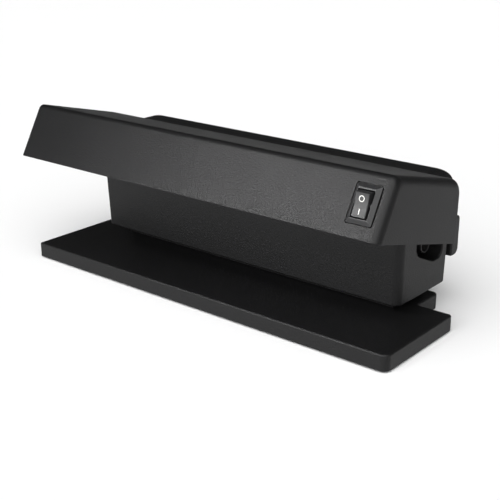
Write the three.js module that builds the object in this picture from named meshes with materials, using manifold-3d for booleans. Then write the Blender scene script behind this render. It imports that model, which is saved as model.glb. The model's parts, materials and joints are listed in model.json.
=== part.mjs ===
// Counterfeit money detector: a flat plate for the note, a housing behind it that carries the mains parts,
// and a long hood over the plate with a 6 W ultraviolet tube under it and a rocker switch at its right end.
// Millimetres. X runs to the right seen from the front, Y to the rear, Z up from the surface it stands on.
import * as THREE from "three";
import { mergeVertices } from "three/addons/utils/BufferGeometryUtils.js";
import Module from "manifold-3d";

const wasm = await Module();
wasm.setup();

// Shared by all pieces
const seatGap = 0.3; // between pieces that touch
const overrun = 6; // by which a cutting solid passes the face it cuts
const wall = 2.5; // moulded walls
const cornerSteps = 5; // chords in a rounded corner
const roundSides = 16; // chords round a boss or a hole
const weld = 1e-4; // vertices nearer than this are one

// Plate, and the tongue behind it
const plateOverhang = 2.5; // past each end of the hood
const plateDepth = 69.75;
const plateThickness = 9.75;
const plateCorner = 5;
const plateEdge = 1.2;
const tongueSetIn = 0.6; // from each end of the housing's foot
const tongueDepth = 24;
const tongueCorner = 7;
const pedestalSetIn = 4.5; // from each end of the tongue
const pedestalDepth = 38;
const pedestalInset = 3.5; // from the tongue's rear edge
const pedestalCorner = 4;
const underGap = 5.4; // between the tongue and the housing over it

// Underside
const footProud = 1;
const footSink = 1.2;
const footRadius = 6.5;
const footEdge = 0.4;
const footInset = 15;
const coverThickness = 2.4;
const coverHeadProud = 0.4; // by which the cover's screw heads stand out of it
const coverScrewInsetX = 34;
const coverScrewInsetY = 12;
const pedestalScrewInset = 11.5; // from the pedestal's end
const pedestalScrewY = 14; // from the pedestal's front

// Screws
const shankRadius = 1.5;
const shankLength = 8;
const shortShankLength = 6.2;
const headRadius = 3;
const headHeight = 1.8;
const bossRadius = 4;
const bossDepth = 8.6;

// Rear housing
const housingSetIn = 17.4; // from the hood's end to the housing's top
const housingFlare = 2; // by which each end of the housing leans out towards the top
const housingFrontSetback = 45.7; // from the plate's front edge to the housing's foot
const chokeRoom = 14.3; // by which the housing is deeper than the choke's winding
const housingHeight = 71.3;
const housingLean = 2.6; // the front comes forward by this much towards the top
const housingEdge = 4; // rounding of the upright edges
const housingFootRadius = 4.6;
const housingTopRadius = 8;
const housingShoulder = 8.5; // rounding of the top's two ends

// Rear cover in its rebate
const rearCoverLength = 168;
const rearCoverHeight = 50;
const rearCoverCorner = 5;
const rearCoverRise = 11; // from the housing's foot to the cover's lower edge
const rearCoverThickness = 2.4;
const ledgeWidth = 6;
const rearScrewInset = 7;
const ventLength = 16;
const ventWidth = 2;
const ventPitch = 6;
const ventCount = 9;
const ventOffset = 42; // from the middle to the middle of each group

// Cord posts on the rear
const postFlangeWidth = 25;
const postFlangeHeight = 22.4;
const postFlangeThickness = 8.5;
const postFlangeCorner = 5;
const postFlangeRise = 17; // from the housing's foot to the flange's lower edge
const postStemWidth = 13;
const postStemHeight = 11;
const postGap = 4.6; // the room for a cord between flange and housing

// Inlet pocket in the right side
const pocketDepth = 12;
const pocketWall = 2.2;
const pocketLength = 30.5;
const pocketHeight = 21.5;
const pocketRise = 18.4; // from the housing's foot to the pocket's lower edge
const pocketRearMargin = 5.6; // from the pocket to the housing's rear face
const pocketSlopeLength = 20; // the lower edge rises towards the front over this length
const pocketSlopeRise = 8.7;
const pocketRoundings = [4, 8, 8, 5];

// Inlet with a figure-8 mouth, long side upright
const inletWidth = 10.6;
const inletHeight = 17;
const inletMouthWidth = 8.2;
const inletMouthHeight = 14.8;
const inletProud = 9; // out of the pocket's floor
const inletBehind = 9; // behind the pocket's floor
const inletBackWall = 3;
const inletCollar = 1.4;
const inletCollarThickness = 1.6;
const inletRearMargin = 14.9; // from its middle to the housing's rear face
const inletRise = 30.2; // from its middle to the housing's foot
const contactRadius = 1.2;
const contactPitch = 8.6;
const contactRecess = 2; // the pins end this far inside the mouth
const contactTail = 5;

// Hood
const hoodReach = 11.05; // in front of the plate's front edge
const hoodLipDrop = 12.95; // from the housing's top down to the hood's lip
const hoodFaceHeight = 35.9; // up the slope
const hoodFaceAngle = THREE.MathUtils.degToRad(60.4);
const hoodTopSlope = THREE.MathUtils.degToRad(14.2);
const hoodLipSlope = THREE.MathUtils.degToRad(15);
const hoodDepth = 82.9;
const hoodRearLean = 1;
const hoodWall = 2.4;
const hoodEdge = 5; // rounding of the face and the top into the ends
const hoodBrow = 4.5; // rounding between face and top
const hoodNape = 5; // rounding between top and rear
const ledgeThickness = 1.4;
const ledgeReach = 3;
const hoodScrewPitch = 84;
const hoodScrewSetback = 7; // behind the housing's front wall

// Lamp tray and reflector, square to the hood's lower edge
const trayInset = 2.3; // up from the hood's lower edge
const trayThickness = 1.8;
const traySetback = 4.6; // from the lip to the tray's front edge
const traySideMargin = 7.5; // from the hood's end wall to the tray screw
const trayScrewReach = 70; // from the lip
const troughMouth = 30;
const troughCeiling = 23.4;
const troughHeight = 23;
const troughFlange = 5;
const sheetThickness = 0.8;

// Lamp: 6 W, 16 mm tube with two-pin caps
const lampRadius = 8;
const lampLength = 212;
const holderRoom = 6.3; // between the left holder and the hood's end wall
const switchRoom = 26.3; // between the right holder and the hood's end wall
const lampReach = 32; // from the lip to the lamp's axis
const lampRise = 10; // from the tray to the lamp's axis
const glassRadius = 7.75;
const glassThickness = 0.8;
const capLength = 9;
const capPlug = 4;
const lampPinRadius = 1.2;
const lampPinPitch = 5;
const lampPinLength = 7;
const holderThickness = 11;
const holderWidth = 20;
const holderSlot = 3;
const holderPocketRadius = 4.1;
const holderPocketDepth = 7.8;

// Rocker switch
const switchRise = 18.25; // from the lip to the middle of the switch, up the face
const switchEndMargin = 13.9; // from the middle of the switch to the hood's end
const bezelWidth = 15;
const bezelHeight = 21;
const bezelThickness = 2;
const bezelBevel = 1.4;
const switchBodyWidth = 13;
const switchBodyHeight = 19.2;
const switchBodyDepth = 14;
const windowWidth = 10.2;
const windowHeight = 16.3;
const windowDepth = 8;
const rockerWidth = 8.9;
const rockerRadius = 7.8; // from the pivot to the rocker's ends
const rockerPivotDepth = 2.2; // under the bezel's front
const rockerCrown = 3.2; // from the pivot's level to the ends of the rocker's face
const rockerValley = 1.9; // from the pivot's level to the middle of the rocker's face
const rockerKeel = 2; // under the pivot's level
const rockerTilt = THREE.MathUtils.degToRad(11);
const axleRadius = 0.9;
const axleEnd = 0.9; // by which the axle enters each wall of the body
const bladeWidth = 4.8;
const bladeThickness = 0.8;
const bladeLength = 7;
const bladePitch = 8;
const bladeRoot = 3; // by which a blade enters the body

// Starter and its socket
const starterRadius = 10.75;
const starterHeight = 34;
const starterEdge = 1.5;
const starterPinRadius = 2.4;
const starterPinLength = 4;
const starterPinPitch = 12.7;
const socketSide = 25;
const socketHeight = 12;
const socketCorner = 3;

// Choke
const chokeMargin = 4.5; // from its bracket to the screw boss beside it
const coreLength = 62;
const coreHeight = 32;
const coreThickness = 26;
const coreLeg = 16;
const coreWindowLength = 12;
const coreWindowHeight = 15;
const windingOverhang = 6;
const windingCorner = 3;
const bracketThickness = 1.2;
const bracketFoot = 11;
const bracketTab = 14;
const bracketShankLength = 4;

// Terminal block
const blockMargin = 5; // from the block to the screw boss beside it
const blockPole = 10;
const blockPoles = 3;
const blockDepth = 17;
const blockHeight = 13;
const blockBore = 1.6;
const blockScrewBore = 1.7;
const blockScrewDepth = 4;

// Wires
const wireRadius = 0.9;
const wireSides = 8;
const wireStep = 5.4; // between two rings of its surface
const wireLead = 6.5; // how far a wire runs straight out of what it leaves
const shortLead = 3; // the same where there is little room
const wireLane = 4; // how far the wires keep above the choke and in front of the rear ledge
const passRadius = 5;
const passSetIn = 6.5; // from the housing's end wall to the hole that the wires pass
const passDrop = 3.9; // from the housing's ceiling to the hole
const passSpread = 1.5;

// Where the pieces stand, from the sizes above
const lampBay = lampLength + 2 * (holderThickness + seatGap);
const hoodLength = 2 * hoodWall + holderRoom + lampBay + switchRoom;
const lampOffset = (holderRoom - switchRoom) / 2; // the switch's room moves the lamp to the left
const plateLength = hoodLength + 2 * plateOverhang;
const housingTopLength = hoodLength - 2 * housingSetIn;
const housingBottomLength = housingTopLength - 2 * housingFlare;
const housingDepth = coreThickness + 2 * windingOverhang + chokeRoom;
const tongueLength = housingBottomLength - 2 * tongueSetIn;
const pedestalLength = tongueLength - 2 * pedestalSetIn;
const pedestalScrewX = pedestalLength / 2 - pedestalScrewInset;
const bracketHalf = coreLength / 2 + seatGap + bracketThickness + bracketFoot;
const chokeX = pedestalScrewX - bossRadius - chokeMargin - bracketHalf;
const blockHalf = (blockPole * blockPoles) / 2;
const blockX = bossRadius + blockMargin + blockHalf - pedestalScrewX;
const starterX = (chokeX - bracketHalf + blockX + blockHalf) / 2;
const plateBottom = footProud;
const plateTop = plateBottom + plateThickness;
const plateFront = -plateDepth / 2;
const plateRear = plateDepth / 2;
const tongueRear = plateRear + tongueDepth;
const housingFoot = plateTop + underGap;
const housingTop = housingFoot + housingHeight;
const housingFront = plateFront + housingFrontSetback;
const housingRear = housingFront + housingDepth;
const housingMiddle = (housingFront + housingRear) / 2;
const housingFloor = housingFoot + wall + seatGap;
const pedestalRear = tongueRear - pedestalInset;
const pedestalFront = pedestalRear - pedestalDepth;
const lip = new THREE.Vector2(plateFront - hoodReach, housingTop - hoodLipDrop);
const brow = new THREE.Vector2(Math.cos(hoodFaceAngle), Math.sin(hoodFaceAngle))
  .multiplyScalar(hoodFaceHeight)
  .add(lip);
const napeReach = lip.x + hoodDepth;
const nape = new THREE.Vector2(napeReach, brow.y - (napeReach - brow.x) * Math.tan(hoodTopSlope));
const tail = new THREE.Vector2(
  nape.x - hoodRearLean,
  lip.y - (hoodDepth - hoodRearLean) * Math.tan(hoodLipSlope),
);
const trayTop = trayInset + trayThickness;
const lampAxis = new THREE.Vector3(lampOffset, lampReach, trayTop + lampRise);
const troughTop = trayTop + seatGap + troughHeight;
const rearmost = housingRear + postGap + postFlangeThickness;

// Half the housing's length at a height: its ends lean outwards
function housingHalf(z) {
  const share = (z - housingFoot) / housingHeight;
  return (housingBottomLength + (housingTopLength - housingBottomLength) * share) / 2;
}

// The two tilted frames: the lamp deck along the hood's lower edge, and the switch on the hood's face
const deckFrame = new THREE.Matrix4()
  .makeTranslation(0, lip.x, lip.y)
  .multiply(new THREE.Matrix4().makeRotationX(-hoodLipSlope));
const switchX = hoodLength / 2 - switchEndMargin;
const switchFrame = new THREE.Matrix4()
  .makeTranslation(
    switchX,
    lip.x + switchRise * Math.cos(hoodFaceAngle),
    lip.y + switchRise * Math.sin(hoodFaceAngle),
  )
  .multiply(new THREE.Matrix4().makeRotationX(hoodFaceAngle));

// Solids and outlines

// A solid for cutting and joining, from a geometry or from an earlier cut or join
function solidOf(shape) {
  if (!shape.isBufferGeometry) {
    return shape;
  }
  const bare = shape.clone();
  bare.deleteAttribute("normal");
  bare.deleteAttribute("uv");
  const merged = mergeVertices(bare, weld);
  const vertProperties = new Float32Array(merged.getAttribute("position").array);
  const triVerts = new Uint32Array(merged.index.array);
  return new wasm.Manifold(new wasm.Mesh({ numProp: 3, vertProperties, triVerts }));
}

function geometryOf(solid) {
  const mesh = solid.getMesh();
  const geometry = new THREE.BufferGeometry();
  geometry.setAttribute("position", new THREE.BufferAttribute(mesh.vertProperties.slice(), 3));
  geometry.setIndex(new THREE.BufferAttribute(mesh.triVerts.slice(), 1));
  geometry.computeVertexNormals();
  return geometry;
}

function joined(...shapes) {
  return shapes.map(solidOf).reduce((sum, next) => sum.add(next));
}

function cut(shape, ...tools) {
  return tools.map(solidOf).reduce((rest, next) => rest.subtract(next), solidOf(shape));
}

function common(shape, other) {
  return solidOf(shape).intersect(solidOf(other));
}

// The points of one corner rounded by an arc
function roundCorner(before, corner, after, radius) {
  if (radius === 0) {
    return [corner];
  }
  const toBefore = before.clone().sub(corner).normalize();
  const toAfter = after.clone().sub(corner).normalize();
  const half = Math.acos(toBefore.dot(toAfter)) / 2;
  const turn = (2 * half - Math.PI) * Math.sign(toBefore.cross(toAfter));
  const reach = radius / Math.tan(half);
  const centre = toBefore
    .clone()
    .add(toAfter)
    .normalize()
    .multiplyScalar(radius / Math.sin(half))
    .add(corner);
  const start = toBefore.multiplyScalar(reach).add(corner).sub(centre);
  return Array.from({ length: cornerSteps + 1 }, (_, i) =>
    start.clone().rotateAround(new THREE.Vector2(), (turn * i) / cornerSteps).add(centre),
  );
}

function roundedShape(points, radii) {
  const outline = points.flatMap((corner, i) =>
    roundCorner(points.at(i - 1), corner, points[(i + 1) % points.length], radii[i]),
  );
  return new THREE.Shape(outline);
}

function rectangle(x0, x1, y0, y1, radius = 0) {
  const points = [
    new THREE.Vector2(x0, y0),
    new THREE.Vector2(x1, y0),
    new THREE.Vector2(x1, y1),
    new THREE.Vector2(x0, y1),
  ];
  return roundedShape(points, [radius, radius, radius, radius]);
}

// An outline whose sides all move inwards by the same distance
function inset(points, distance) {
  const lines = points.map((point, i) => {
    const along = points[(i + 1) % points.length].clone().sub(point).normalize();
    const inwards = new THREE.Vector2(-along.y, along.x).multiplyScalar(distance);
    return { point: point.clone().add(inwards), along };
  });
  return lines.map((line, i) => {
    const last = lines.at(i - 1);
    const between = line.point.clone().sub(last.point);
    const reach = between.cross(line.along) / last.along.cross(line.along);
    return last.along.clone().multiplyScalar(reach).add(last.point);
  });
}

// Prisms along each axis. A bevel rounds both ends inside the prism's length.
function prismZ(shape, z0, z1, bevel = 0) {
  const geometry = new THREE.ExtrudeGeometry(shape, {
    depth: z1 - z0 - 2 * bevel,
    bevelEnabled: bevel > 0,
    bevelThickness: bevel,
    bevelSize: bevel,
    bevelOffset: -bevel,
    bevelSegments: cornerSteps,
    steps: 1,
  });
  return geometry.translate(0, 0, z0 + bevel);
}

const alongX = new THREE.Matrix4().makeBasis(
  new THREE.Vector3(0, 1, 0),
  new THREE.Vector3(0, 0, 1),
  new THREE.Vector3(1, 0, 0),
);

function prismX(shape, x0, x1, bevel = 0) {
  return prismZ(shape, x0, x1, bevel).applyMatrix4(alongX);
}

function prismY(shape, y0, y1) {
  return prismZ(shape, -y1, -y0).rotateX(Math.PI / 2);
}

function box(x0, x1, y0, y1, z0, z1) {
  return new THREE.BoxGeometry(x1 - x0, y1 - y0, z1 - z0).translate(
    (x0 + x1) / 2,
    (y0 + y1) / 2,
    (z0 + z1) / 2,
  );
}

// A round rod between two points
function rod(from, to, radius, sides = roundSides) {
  const run = to.clone().sub(from);
  const turn = new THREE.Quaternion().setFromUnitVectors(new THREE.Vector3(0, 1, 0), run.clone().normalize());
  return new THREE.CylinderGeometry(radius, radius, run.length(), sides)
    .applyQuaternion(turn)
    .translate(...from.clone().add(to).multiplyScalar(1 / 2));
}

function uprightRod(x, y, z0, z1, radius) {
  return rod(new THREE.Vector3(x, y, z0), new THREE.Vector3(x, y, z1), radius);
}

// A plate-like block with a rounded upper edge and a flat underside
function softTopBlock(shape, z0, z1) {
  const tall = prismZ(shape, z0 - overrun, z1, plateEdge);
  const reach = plateLength;
  return common(tall, box(-reach, reach, -reach, reach, z0, z1 + overrun));
}

// Finishes
function finish(color, roughness, metalness) {
  return new THREE.MeshStandardMaterial({ color, roughness, metalness });
}

const blackPlastic = finish(0x1b1b1c, 0.55, 0);
const darkPlastic = finish(0x101011, 0.4, 0);
const whitePlastic = finish(0xd9d8d2, 0.5, 0);
const rubber = finish(0x1a1a1a, 0.9, 0);
const steel = finish(0x9a9c9f, 0.4, 1);
const aluminium = finish(0xc4c6c8, 0.35, 1);
const brass = finish(0xb79a4c, 0.35, 1);
const copper = finish(0x8a4a24, 0.4, 0.6);
const violetGlass = finish(0x2a2140, 0.1, 0);
const brownSleeve = finish(0x4a2a1a, 0.5, 0);
const blueSleeve = finish(0x1f3f86, 0.5, 0);
const whiteSleeve = finish(0xe2e0da, 0.5, 0);

const detector = new THREE.Group();
const assembly = new THREE.Group();
const lampDeck = new THREE.Group();
const switchUnit = new THREE.Group();
lampDeck.applyMatrix4(deckFrame);
switchUnit.applyMatrix4(switchFrame);
assembly.add(lampDeck, switchUnit);
// The frame's origin is on the surface, under the middle of the whole object
assembly.position.y = -(lip.x + rearmost) / 2;
detector.add(assembly);

function add(group, name, shape, material) {
  const geometry = shape.isBufferGeometry ? shape : geometryOf(shape);
  const mesh = new THREE.Mesh(geometry, material);
  mesh.name = name;
  group.add(mesh);
  return mesh;
}

// Screws: a pan head under z = 0 and a shank that rises from it
function screwGeometry(length) {
  const profile = [
    new THREE.Vector2(0, -headHeight),
    new THREE.Vector2(headRadius * 0.7, -headHeight),
    new THREE.Vector2(headRadius, -headHeight / 3),
    new THREE.Vector2(headRadius, 0),
    new THREE.Vector2(shankRadius, 0),
    new THREE.Vector2(shankRadius, length - shankRadius),
    new THREE.Vector2(0, length),
  ];
  return new THREE.LatheGeometry(profile, cornerSteps * 2).rotateX(Math.PI / 2);
}

function addScrew(group, name, x, y, z, turnX = 0, length = shankLength) {
  const screw = add(group, name, screwGeometry(length), steel);
  screw.position.set(x, y, z);
  screw.rotation.x = turnX;
  return screw;
}

// Base

function plateShape(margin) {
  const half = plateLength / 2 - margin;
  return rectangle(-half, half, plateFront + margin, plateRear - margin, plateCorner);
}

function tongueShape(margin) {
  const half = tongueLength / 2 - margin;
  return rectangle(-half, half, plateRear - 2 * tongueCorner - margin, tongueRear - margin, tongueCorner);
}

function pedestalShape(margin) {
  const half = pedestalLength / 2 - margin;
  return rectangle(-half, half, pedestalFront + margin, pedestalRear - margin, pedestalCorner);
}

const coverScrewSpots = [-1, 1].flatMap((sideX) =>
  [-1, 1].map((sideY) => [
    sideX * (plateLength / 2 - coverScrewInsetX),
    sideY * (plateDepth / 2 - coverScrewInsetY),
  ]),
);
const pedestalScrewSpots = [-1, 1].flatMap((sideX) =>
  [0, 1].map((row) => [sideX * pedestalScrewX, pedestalFront + pedestalScrewY + row * pedestalScrewY]),
);

function makeBase() {
  const ceiling = plateTop - wall;
  const pedestalTop = housingFoot - seatGap;
  let shell = joined(
    softTopBlock(plateShape(0), plateBottom, plateTop),
    softTopBlock(tongueShape(0), plateBottom, plateTop),
    prismZ(pedestalShape(0), ceiling, pedestalTop),
  );
  shell = cut(
    shell,
    prismZ(plateShape(wall), plateBottom - overrun, ceiling),
    prismZ(tongueShape(wall), plateBottom - overrun, ceiling),
    prismZ(pedestalShape(wall), ceiling - wall, pedestalTop - wall),
  );
  const coverTop = plateBottom + coverThickness;
  const bosses = coverScrewSpots.map(([x, y]) =>
    uprightRod(x, y, coverTop + seatGap, ceiling + wall / 2, bossRadius),
  );
  shell = joined(shell, ...bosses);
  const holes = coverScrewSpots.map(([x, y]) =>
    uprightRod(x, y, plateBottom, ceiling + wall / 4, shankRadius + seatGap),
  );
  const passages = pedestalScrewSpots.map(([x, y]) =>
    uprightRod(x, y, plateBottom, pedestalTop + overrun, shankRadius + seatGap),
  );
  add(assembly, "base_plate", cut(shell, ...holes, ...passages), blackPlastic);
}

function footSpots() {
  const x = plateLength / 2 - footInset;
  const front = plateFront + footInset;
  const rear = tongueRear - footInset;
  const rearX = tongueLength / 2 - footInset;
  return [
    [-x, front],
    [x, front],
    [-rearX, rear],
    [rearX, rear],
  ];
}

function makeUnderside() {
  const margin = wall + seatGap;
  const top = plateBottom + coverThickness;
  const cover = joined(
    prismZ(plateShape(margin), plateBottom, top),
    prismZ(tongueShape(margin), plateBottom, top),
  );
  const recesses = footSpots().map(([x, y]) =>
    uprightRod(x, y, plateBottom - overrun, plateBottom + footSink, footRadius + seatGap),
  );
  const holes = coverScrewSpots.map(([x, y]) => uprightRod(x, y, 0, top + overrun, shankRadius + seatGap));
  const headSeat = plateBottom - coverHeadProud + headHeight;
  const sinks = coverScrewSpots.map(([x, y]) =>
    uprightRod(x, y, plateBottom - overrun, headSeat + seatGap, headRadius + seatGap),
  );
  add(assembly, "base_cover", cut(cover, ...recesses, ...holes, ...sinks), blackPlastic);

  footSpots().forEach(([x, y], i) => {
    const high = footProud + footSink - seatGap;
    const profile = [
      new THREE.Vector2(0, 0),
      new THREE.Vector2(footRadius - footEdge, 0),
      new THREE.Vector2(footRadius, footEdge),
      new THREE.Vector2(footRadius, high),
      new THREE.Vector2(0, high),
    ];
    const foot = new THREE.LatheGeometry(profile, roundSides).rotateX(Math.PI / 2);
    add(assembly, `base_foot_${i + 1}`, foot, rubber).position.set(x, y, 0);
  });
  coverScrewSpots.forEach(([x, y], i) => {
    addScrew(assembly, `base_cover_screw_${i + 1}`, x, y, headSeat, 0, shortShankLength);
  });
  pedestalScrewSpots.forEach(([x, y], i) => {
    addScrew(assembly, `pedestal_screw_${i + 1}`, x, y, housingFoot - seatGap - wall - seatGap);
  });
}

// Rear housing

function housingProfile(grow) {
  const points = [
    new THREE.Vector2(housingFront, housingFoot),
    new THREE.Vector2(housingRear, housingFoot),
    new THREE.Vector2(housingRear, housingTop),
    new THREE.Vector2(housingFront - housingLean, housingTop),
  ];
  return inset(points, -grow);
}

// The ends lean outwards, so each point moves out with its height
function lean(geometry) {
  const position = geometry.getAttribute("position");
  for (let i = 0; i < position.count; i += 1) {
    const scale = housingHalf(position.getZ(i)) / housingHalf(housingFoot);
    position.setX(i, position.getX(i) * scale);
  }
  return geometry;
}

function housingSolid(grow) {
  const radii = [housingFootRadius, housingFootRadius, housingTopRadius, housingFootRadius];
  const half = housingBottomLength / 2 + grow;
  const block = prismX(roundedShape(housingProfile(grow), radii), -half, half, housingEdge);
  const outer = half + seatGap;
  const low = housingFoot - grow - overrun;
  const high = housingTop + grow + seatGap;
  const shoulders = roundedShape(
    [
      new THREE.Vector2(-outer, low),
      new THREE.Vector2(outer, low),
      new THREE.Vector2(outer, high),
      new THREE.Vector2(-outer, high),
    ],
    [0, 0, housingShoulder, housingShoulder],
  );
  const reach = housingRear + overrun;
  return solidOf(lean(geometryOf(common(block, prismY(shoulders, -reach, reach)))));
}

function housingHollow() {
  const half = housingBottomLength / 2 - wall;
  return lean(prismX(new THREE.Shape(housingProfile(-wall)), -half, half));
}

// The pocket's outline in Y and Z, grown by its wall for the block around it
function pocketShape(grow) {
  const rear = housingRear - pocketRearMargin;
  const front = rear - pocketLength;
  const low = housingFoot + pocketRise;
  const points = [
    new THREE.Vector2(front, low + pocketHeight),
    new THREE.Vector2(front, low + pocketSlopeRise),
    new THREE.Vector2(front + pocketSlopeLength, low),
    new THREE.Vector2(rear, low),
    new THREE.Vector2(rear, low + pocketHeight),
  ];
  const radii = [...pocketRoundings, pocketRoundings[0]];
  return roundedShape(inset(points, -grow), radii);
}

const inletY = housingRear - inletRearMargin;
const inletZ = housingFoot + inletRise;
const pocketFloor = housingHalf(inletZ) - pocketDepth;

function stadium(width, height) {
  const half = width / 2;
  return rectangle(inletY - half, inletY + half, inletZ - height / 2, inletZ + height / 2, half - weld);
}

const rearCoverLow = housingFoot + rearCoverRise;
const rearCoverHigh = rearCoverLow + rearCoverHeight;

function rearCoverShape(grow, radius = rearCoverCorner) {
  const half = rearCoverLength / 2 + grow;
  return rectangle(-half, half, rearCoverLow - grow, rearCoverHigh + grow, radius);
}

const rearScrewSpots = [-1, 1].flatMap((side) =>
  [rearCoverLow + rearScrewInset, rearCoverHigh - rearScrewInset].map((z) => [
    side * (rearCoverLength / 2 - rearScrewInset),
    z,
  ]),
);
const bracketScrewSpots = [-1, 1].map((side) => chokeX + side * (bracketHalf - bracketFoot / 2));
const passZ = housingTop - wall - passDrop - passRadius;
const passX = housingHalf(passZ) - wall - passSetIn;
const hoodScrewY = housingFront - housingLean + wall + hoodScrewSetback;
const hoodScrewSpots = [-1, 0, 1].map((side) => side * hoodScrewPitch);
const ledgeFace = housingRear - rearCoverThickness - seatGap;

function makeHousing() {
  const reach = plateLength;
  const pocketBlock = common(
    prismX(pocketShape(pocketWall), pocketFloor - pocketWall, reach),
    housingSolid(0),
  );
  const ledge = prismY(rearCoverShape(ledgeWidth), ledgeFace - wall, housingRear - wall / 2);
  const rearBosses = rearScrewSpots.map(([x, z]) =>
    rod(
      new THREE.Vector3(x, ledgeFace - bossDepth, z),
      new THREE.Vector3(x, ledgeFace - wall / 2, z),
      bossRadius,
    ),
  );
  const footBosses = pedestalScrewSpots.map(([x, y]) =>
    uprightRod(x, y, housingFoot + wall / 2, housingFoot + bossDepth, bossRadius),
  );
  let shell = cut(housingSolid(0), housingHollow());
  shell = joined(shell, pocketBlock, ledge, ...rearBosses, ...footBosses);
  const opening = prismY(rearCoverShape(-ledgeWidth), ledgeFace - overrun, housingRear + overrun);
  const rebate = prismY(rearCoverShape(seatGap), ledgeFace, housingRear + overrun);
  const pocket = prismX(pocketShape(0), pocketFloor, reach);
  const inletHole = prismX(
    stadium(inletWidth + 2 * seatGap, inletHeight + 2 * seatGap),
    pocketFloor - pocketWall - overrun,
    reach,
  );
  const rearHoles = rearScrewSpots.map(([x, z]) =>
    rod(
      new THREE.Vector3(x, ledgeFace - bossDepth + wall / 2, z),
      new THREE.Vector3(x, housingRear, z),
      shankRadius + seatGap,
    ),
  );
  const footHoles = pedestalScrewSpots.map(([x, y]) =>
    uprightRod(x, y, housingFoot - overrun, housingFoot + bossDepth - wall / 2, shankRadius + seatGap),
  );
  const bracketHoles = bracketScrewSpots.map((x) =>
    uprightRod(x, housingMiddle, housingFoot - overrun, housingFloor, shankRadius + seatGap),
  );
  const topHoles = hoodScrewSpots.map((x) =>
    uprightRod(x, hoodScrewY, housingTop - wall - overrun, housingTop + overrun, shankRadius + seatGap),
  );
  const passHoles = [-1, 1].map((side) =>
    rod(
      new THREE.Vector3(side * passX, housingFront - housingLean - overrun, passZ),
      new THREE.Vector3(side * passX, housingFront + wall + overrun, passZ),
      passRadius,
    ),
  );
  const holes = [...rearHoles, ...footHoles, ...bracketHoles, ...topHoles, ...passHoles];
  shell = cut(shell, opening, rebate, pocket, inletHole, ...holes);
  add(assembly, "housing_shell", shell, blackPlastic);
}

function makeRearCover() {
  const outside = ledgeFace + seatGap + rearCoverThickness;
  const plate = prismY(rearCoverShape(0), ledgeFace + seatGap, outside);
  const vents = [-1, 1].flatMap((side) =>
    Array.from({ length: ventCount }, (_, i) => {
      const x = side * ventOffset + (i - (ventCount - 1) / 2) * ventPitch;
      const middle = (rearCoverLow + rearCoverHigh) / 2;
      return box(
        x - ventWidth / 2,
        x + ventWidth / 2,
        ledgeFace - overrun,
        outside + overrun,
        middle - ventLength / 2,
        middle + ventLength / 2,
      );
    }),
  );
  const holes = rearScrewSpots.map(([x, z]) =>
    rod(
      new THREE.Vector3(x, ledgeFace - overrun, z),
      new THREE.Vector3(x, outside + overrun, z),
      shankRadius + seatGap,
    ),
  );
  add(assembly, "rear_cover", cut(plate, ...vents, ...holes), blackPlastic);
  rearScrewSpots.forEach(([x, z], i) => {
    addScrew(assembly, `rear_cover_screw_${i + 1}`, x, outside + seatGap, z, Math.PI / 2);
  });
}

// A flange on a stem: a cord winds round the two stems behind the flanges
function makeCordPosts() {
  const low = housingFoot + postFlangeRise;
  const middle = low + postFlangeHeight / 2;
  const outer = housingHalf(low);
  const flangeFace = housingRear + postGap;
  for (const [side, name] of [
    [-1, "cord_post_left"],
    [1, "cord_post_right"],
  ]) {
    const near = side * (outer - postFlangeWidth);
    const far = side * outer;
    const flange = prismX(
      rectangle(flangeFace, rearmost, low, low + postFlangeHeight, 0),
      Math.min(near, far),
      Math.max(near, far),
    );
    const round = prismX(
      roundedShape(
        [
          new THREE.Vector2(flangeFace, low),
          new THREE.Vector2(rearmost, low),
          new THREE.Vector2(rearmost, low + postFlangeHeight),
          new THREE.Vector2(flangeFace, low + postFlangeHeight),
        ],
        [0, postFlangeCorner, postFlangeCorner, 0],
      ),
      -plateLength,
      plateLength,
    );
    const stemX = (near + far) / 2;
    const stem = box(
      stemX - postStemWidth / 2,
      stemX + postStemWidth / 2,
      housingRear + seatGap,
      flangeFace + postGap / 2,
      middle - postStemHeight / 2,
      middle + postStemHeight / 2,
    );
    add(assembly, name, joined(common(flange, round), stem), blackPlastic);
  }
}

// Inlet

function makeInlet() {
  const mouth = pocketFloor + inletProud;
  const back = pocketFloor - inletBehind;
  const sleeve = prismX(stadium(inletWidth, inletHeight), back, mouth);
  const collarFace = pocketFloor - pocketWall - seatGap;
  const collar = prismX(
    stadium(inletWidth + 2 * inletCollar, inletHeight + 2 * inletCollar),
    collarFace - inletCollarThickness,
    collarFace,
  );
  const hollow = prismX(stadium(inletMouthWidth, inletMouthHeight), back + inletBackWall, mouth + overrun);
  const spots = [-1, 1].map((side) => inletZ + (side * contactPitch) / 2);
  const holes = spots.map((z) =>
    rod(
      new THREE.Vector3(back - overrun, inletY, z),
      new THREE.Vector3(mouth, inletY, z),
      contactRadius + seatGap,
    ),
  );
  add(assembly, "inlet_body", cut(joined(sleeve, collar), hollow, ...holes), darkPlastic);
  spots.forEach((z, i) => {
    const pin = rod(
      new THREE.Vector3(back - contactTail, inletY, z),
      new THREE.Vector3(mouth - contactRecess, inletY, z),
      contactRadius,
    );
    add(assembly, `inlet_pin_${i + 1}`, pin, brass);
  });
}

// Hood

function hoodProfile(grow) {
  return inset([lip, tail, nape, brow], -grow);
}

// The profile carried past the lower and the rear edge, so that only face and top are rounded into the ends
function hoodRounding() {
  const down = 2 * hoodEdge;
  const points = [
    new THREE.Vector2(lip.x - down / Math.tan(hoodFaceAngle), lip.y - down),
    new THREE.Vector2(nape.x + down, tail.y - down),
    new THREE.Vector2(nape.x + down, nape.y - down * Math.tan(hoodTopSlope)),
    brow,
  ];
  return prismX(new THREE.Shape(points), -hoodLength / 2, hoodLength / 2, hoodEdge);
}

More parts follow.
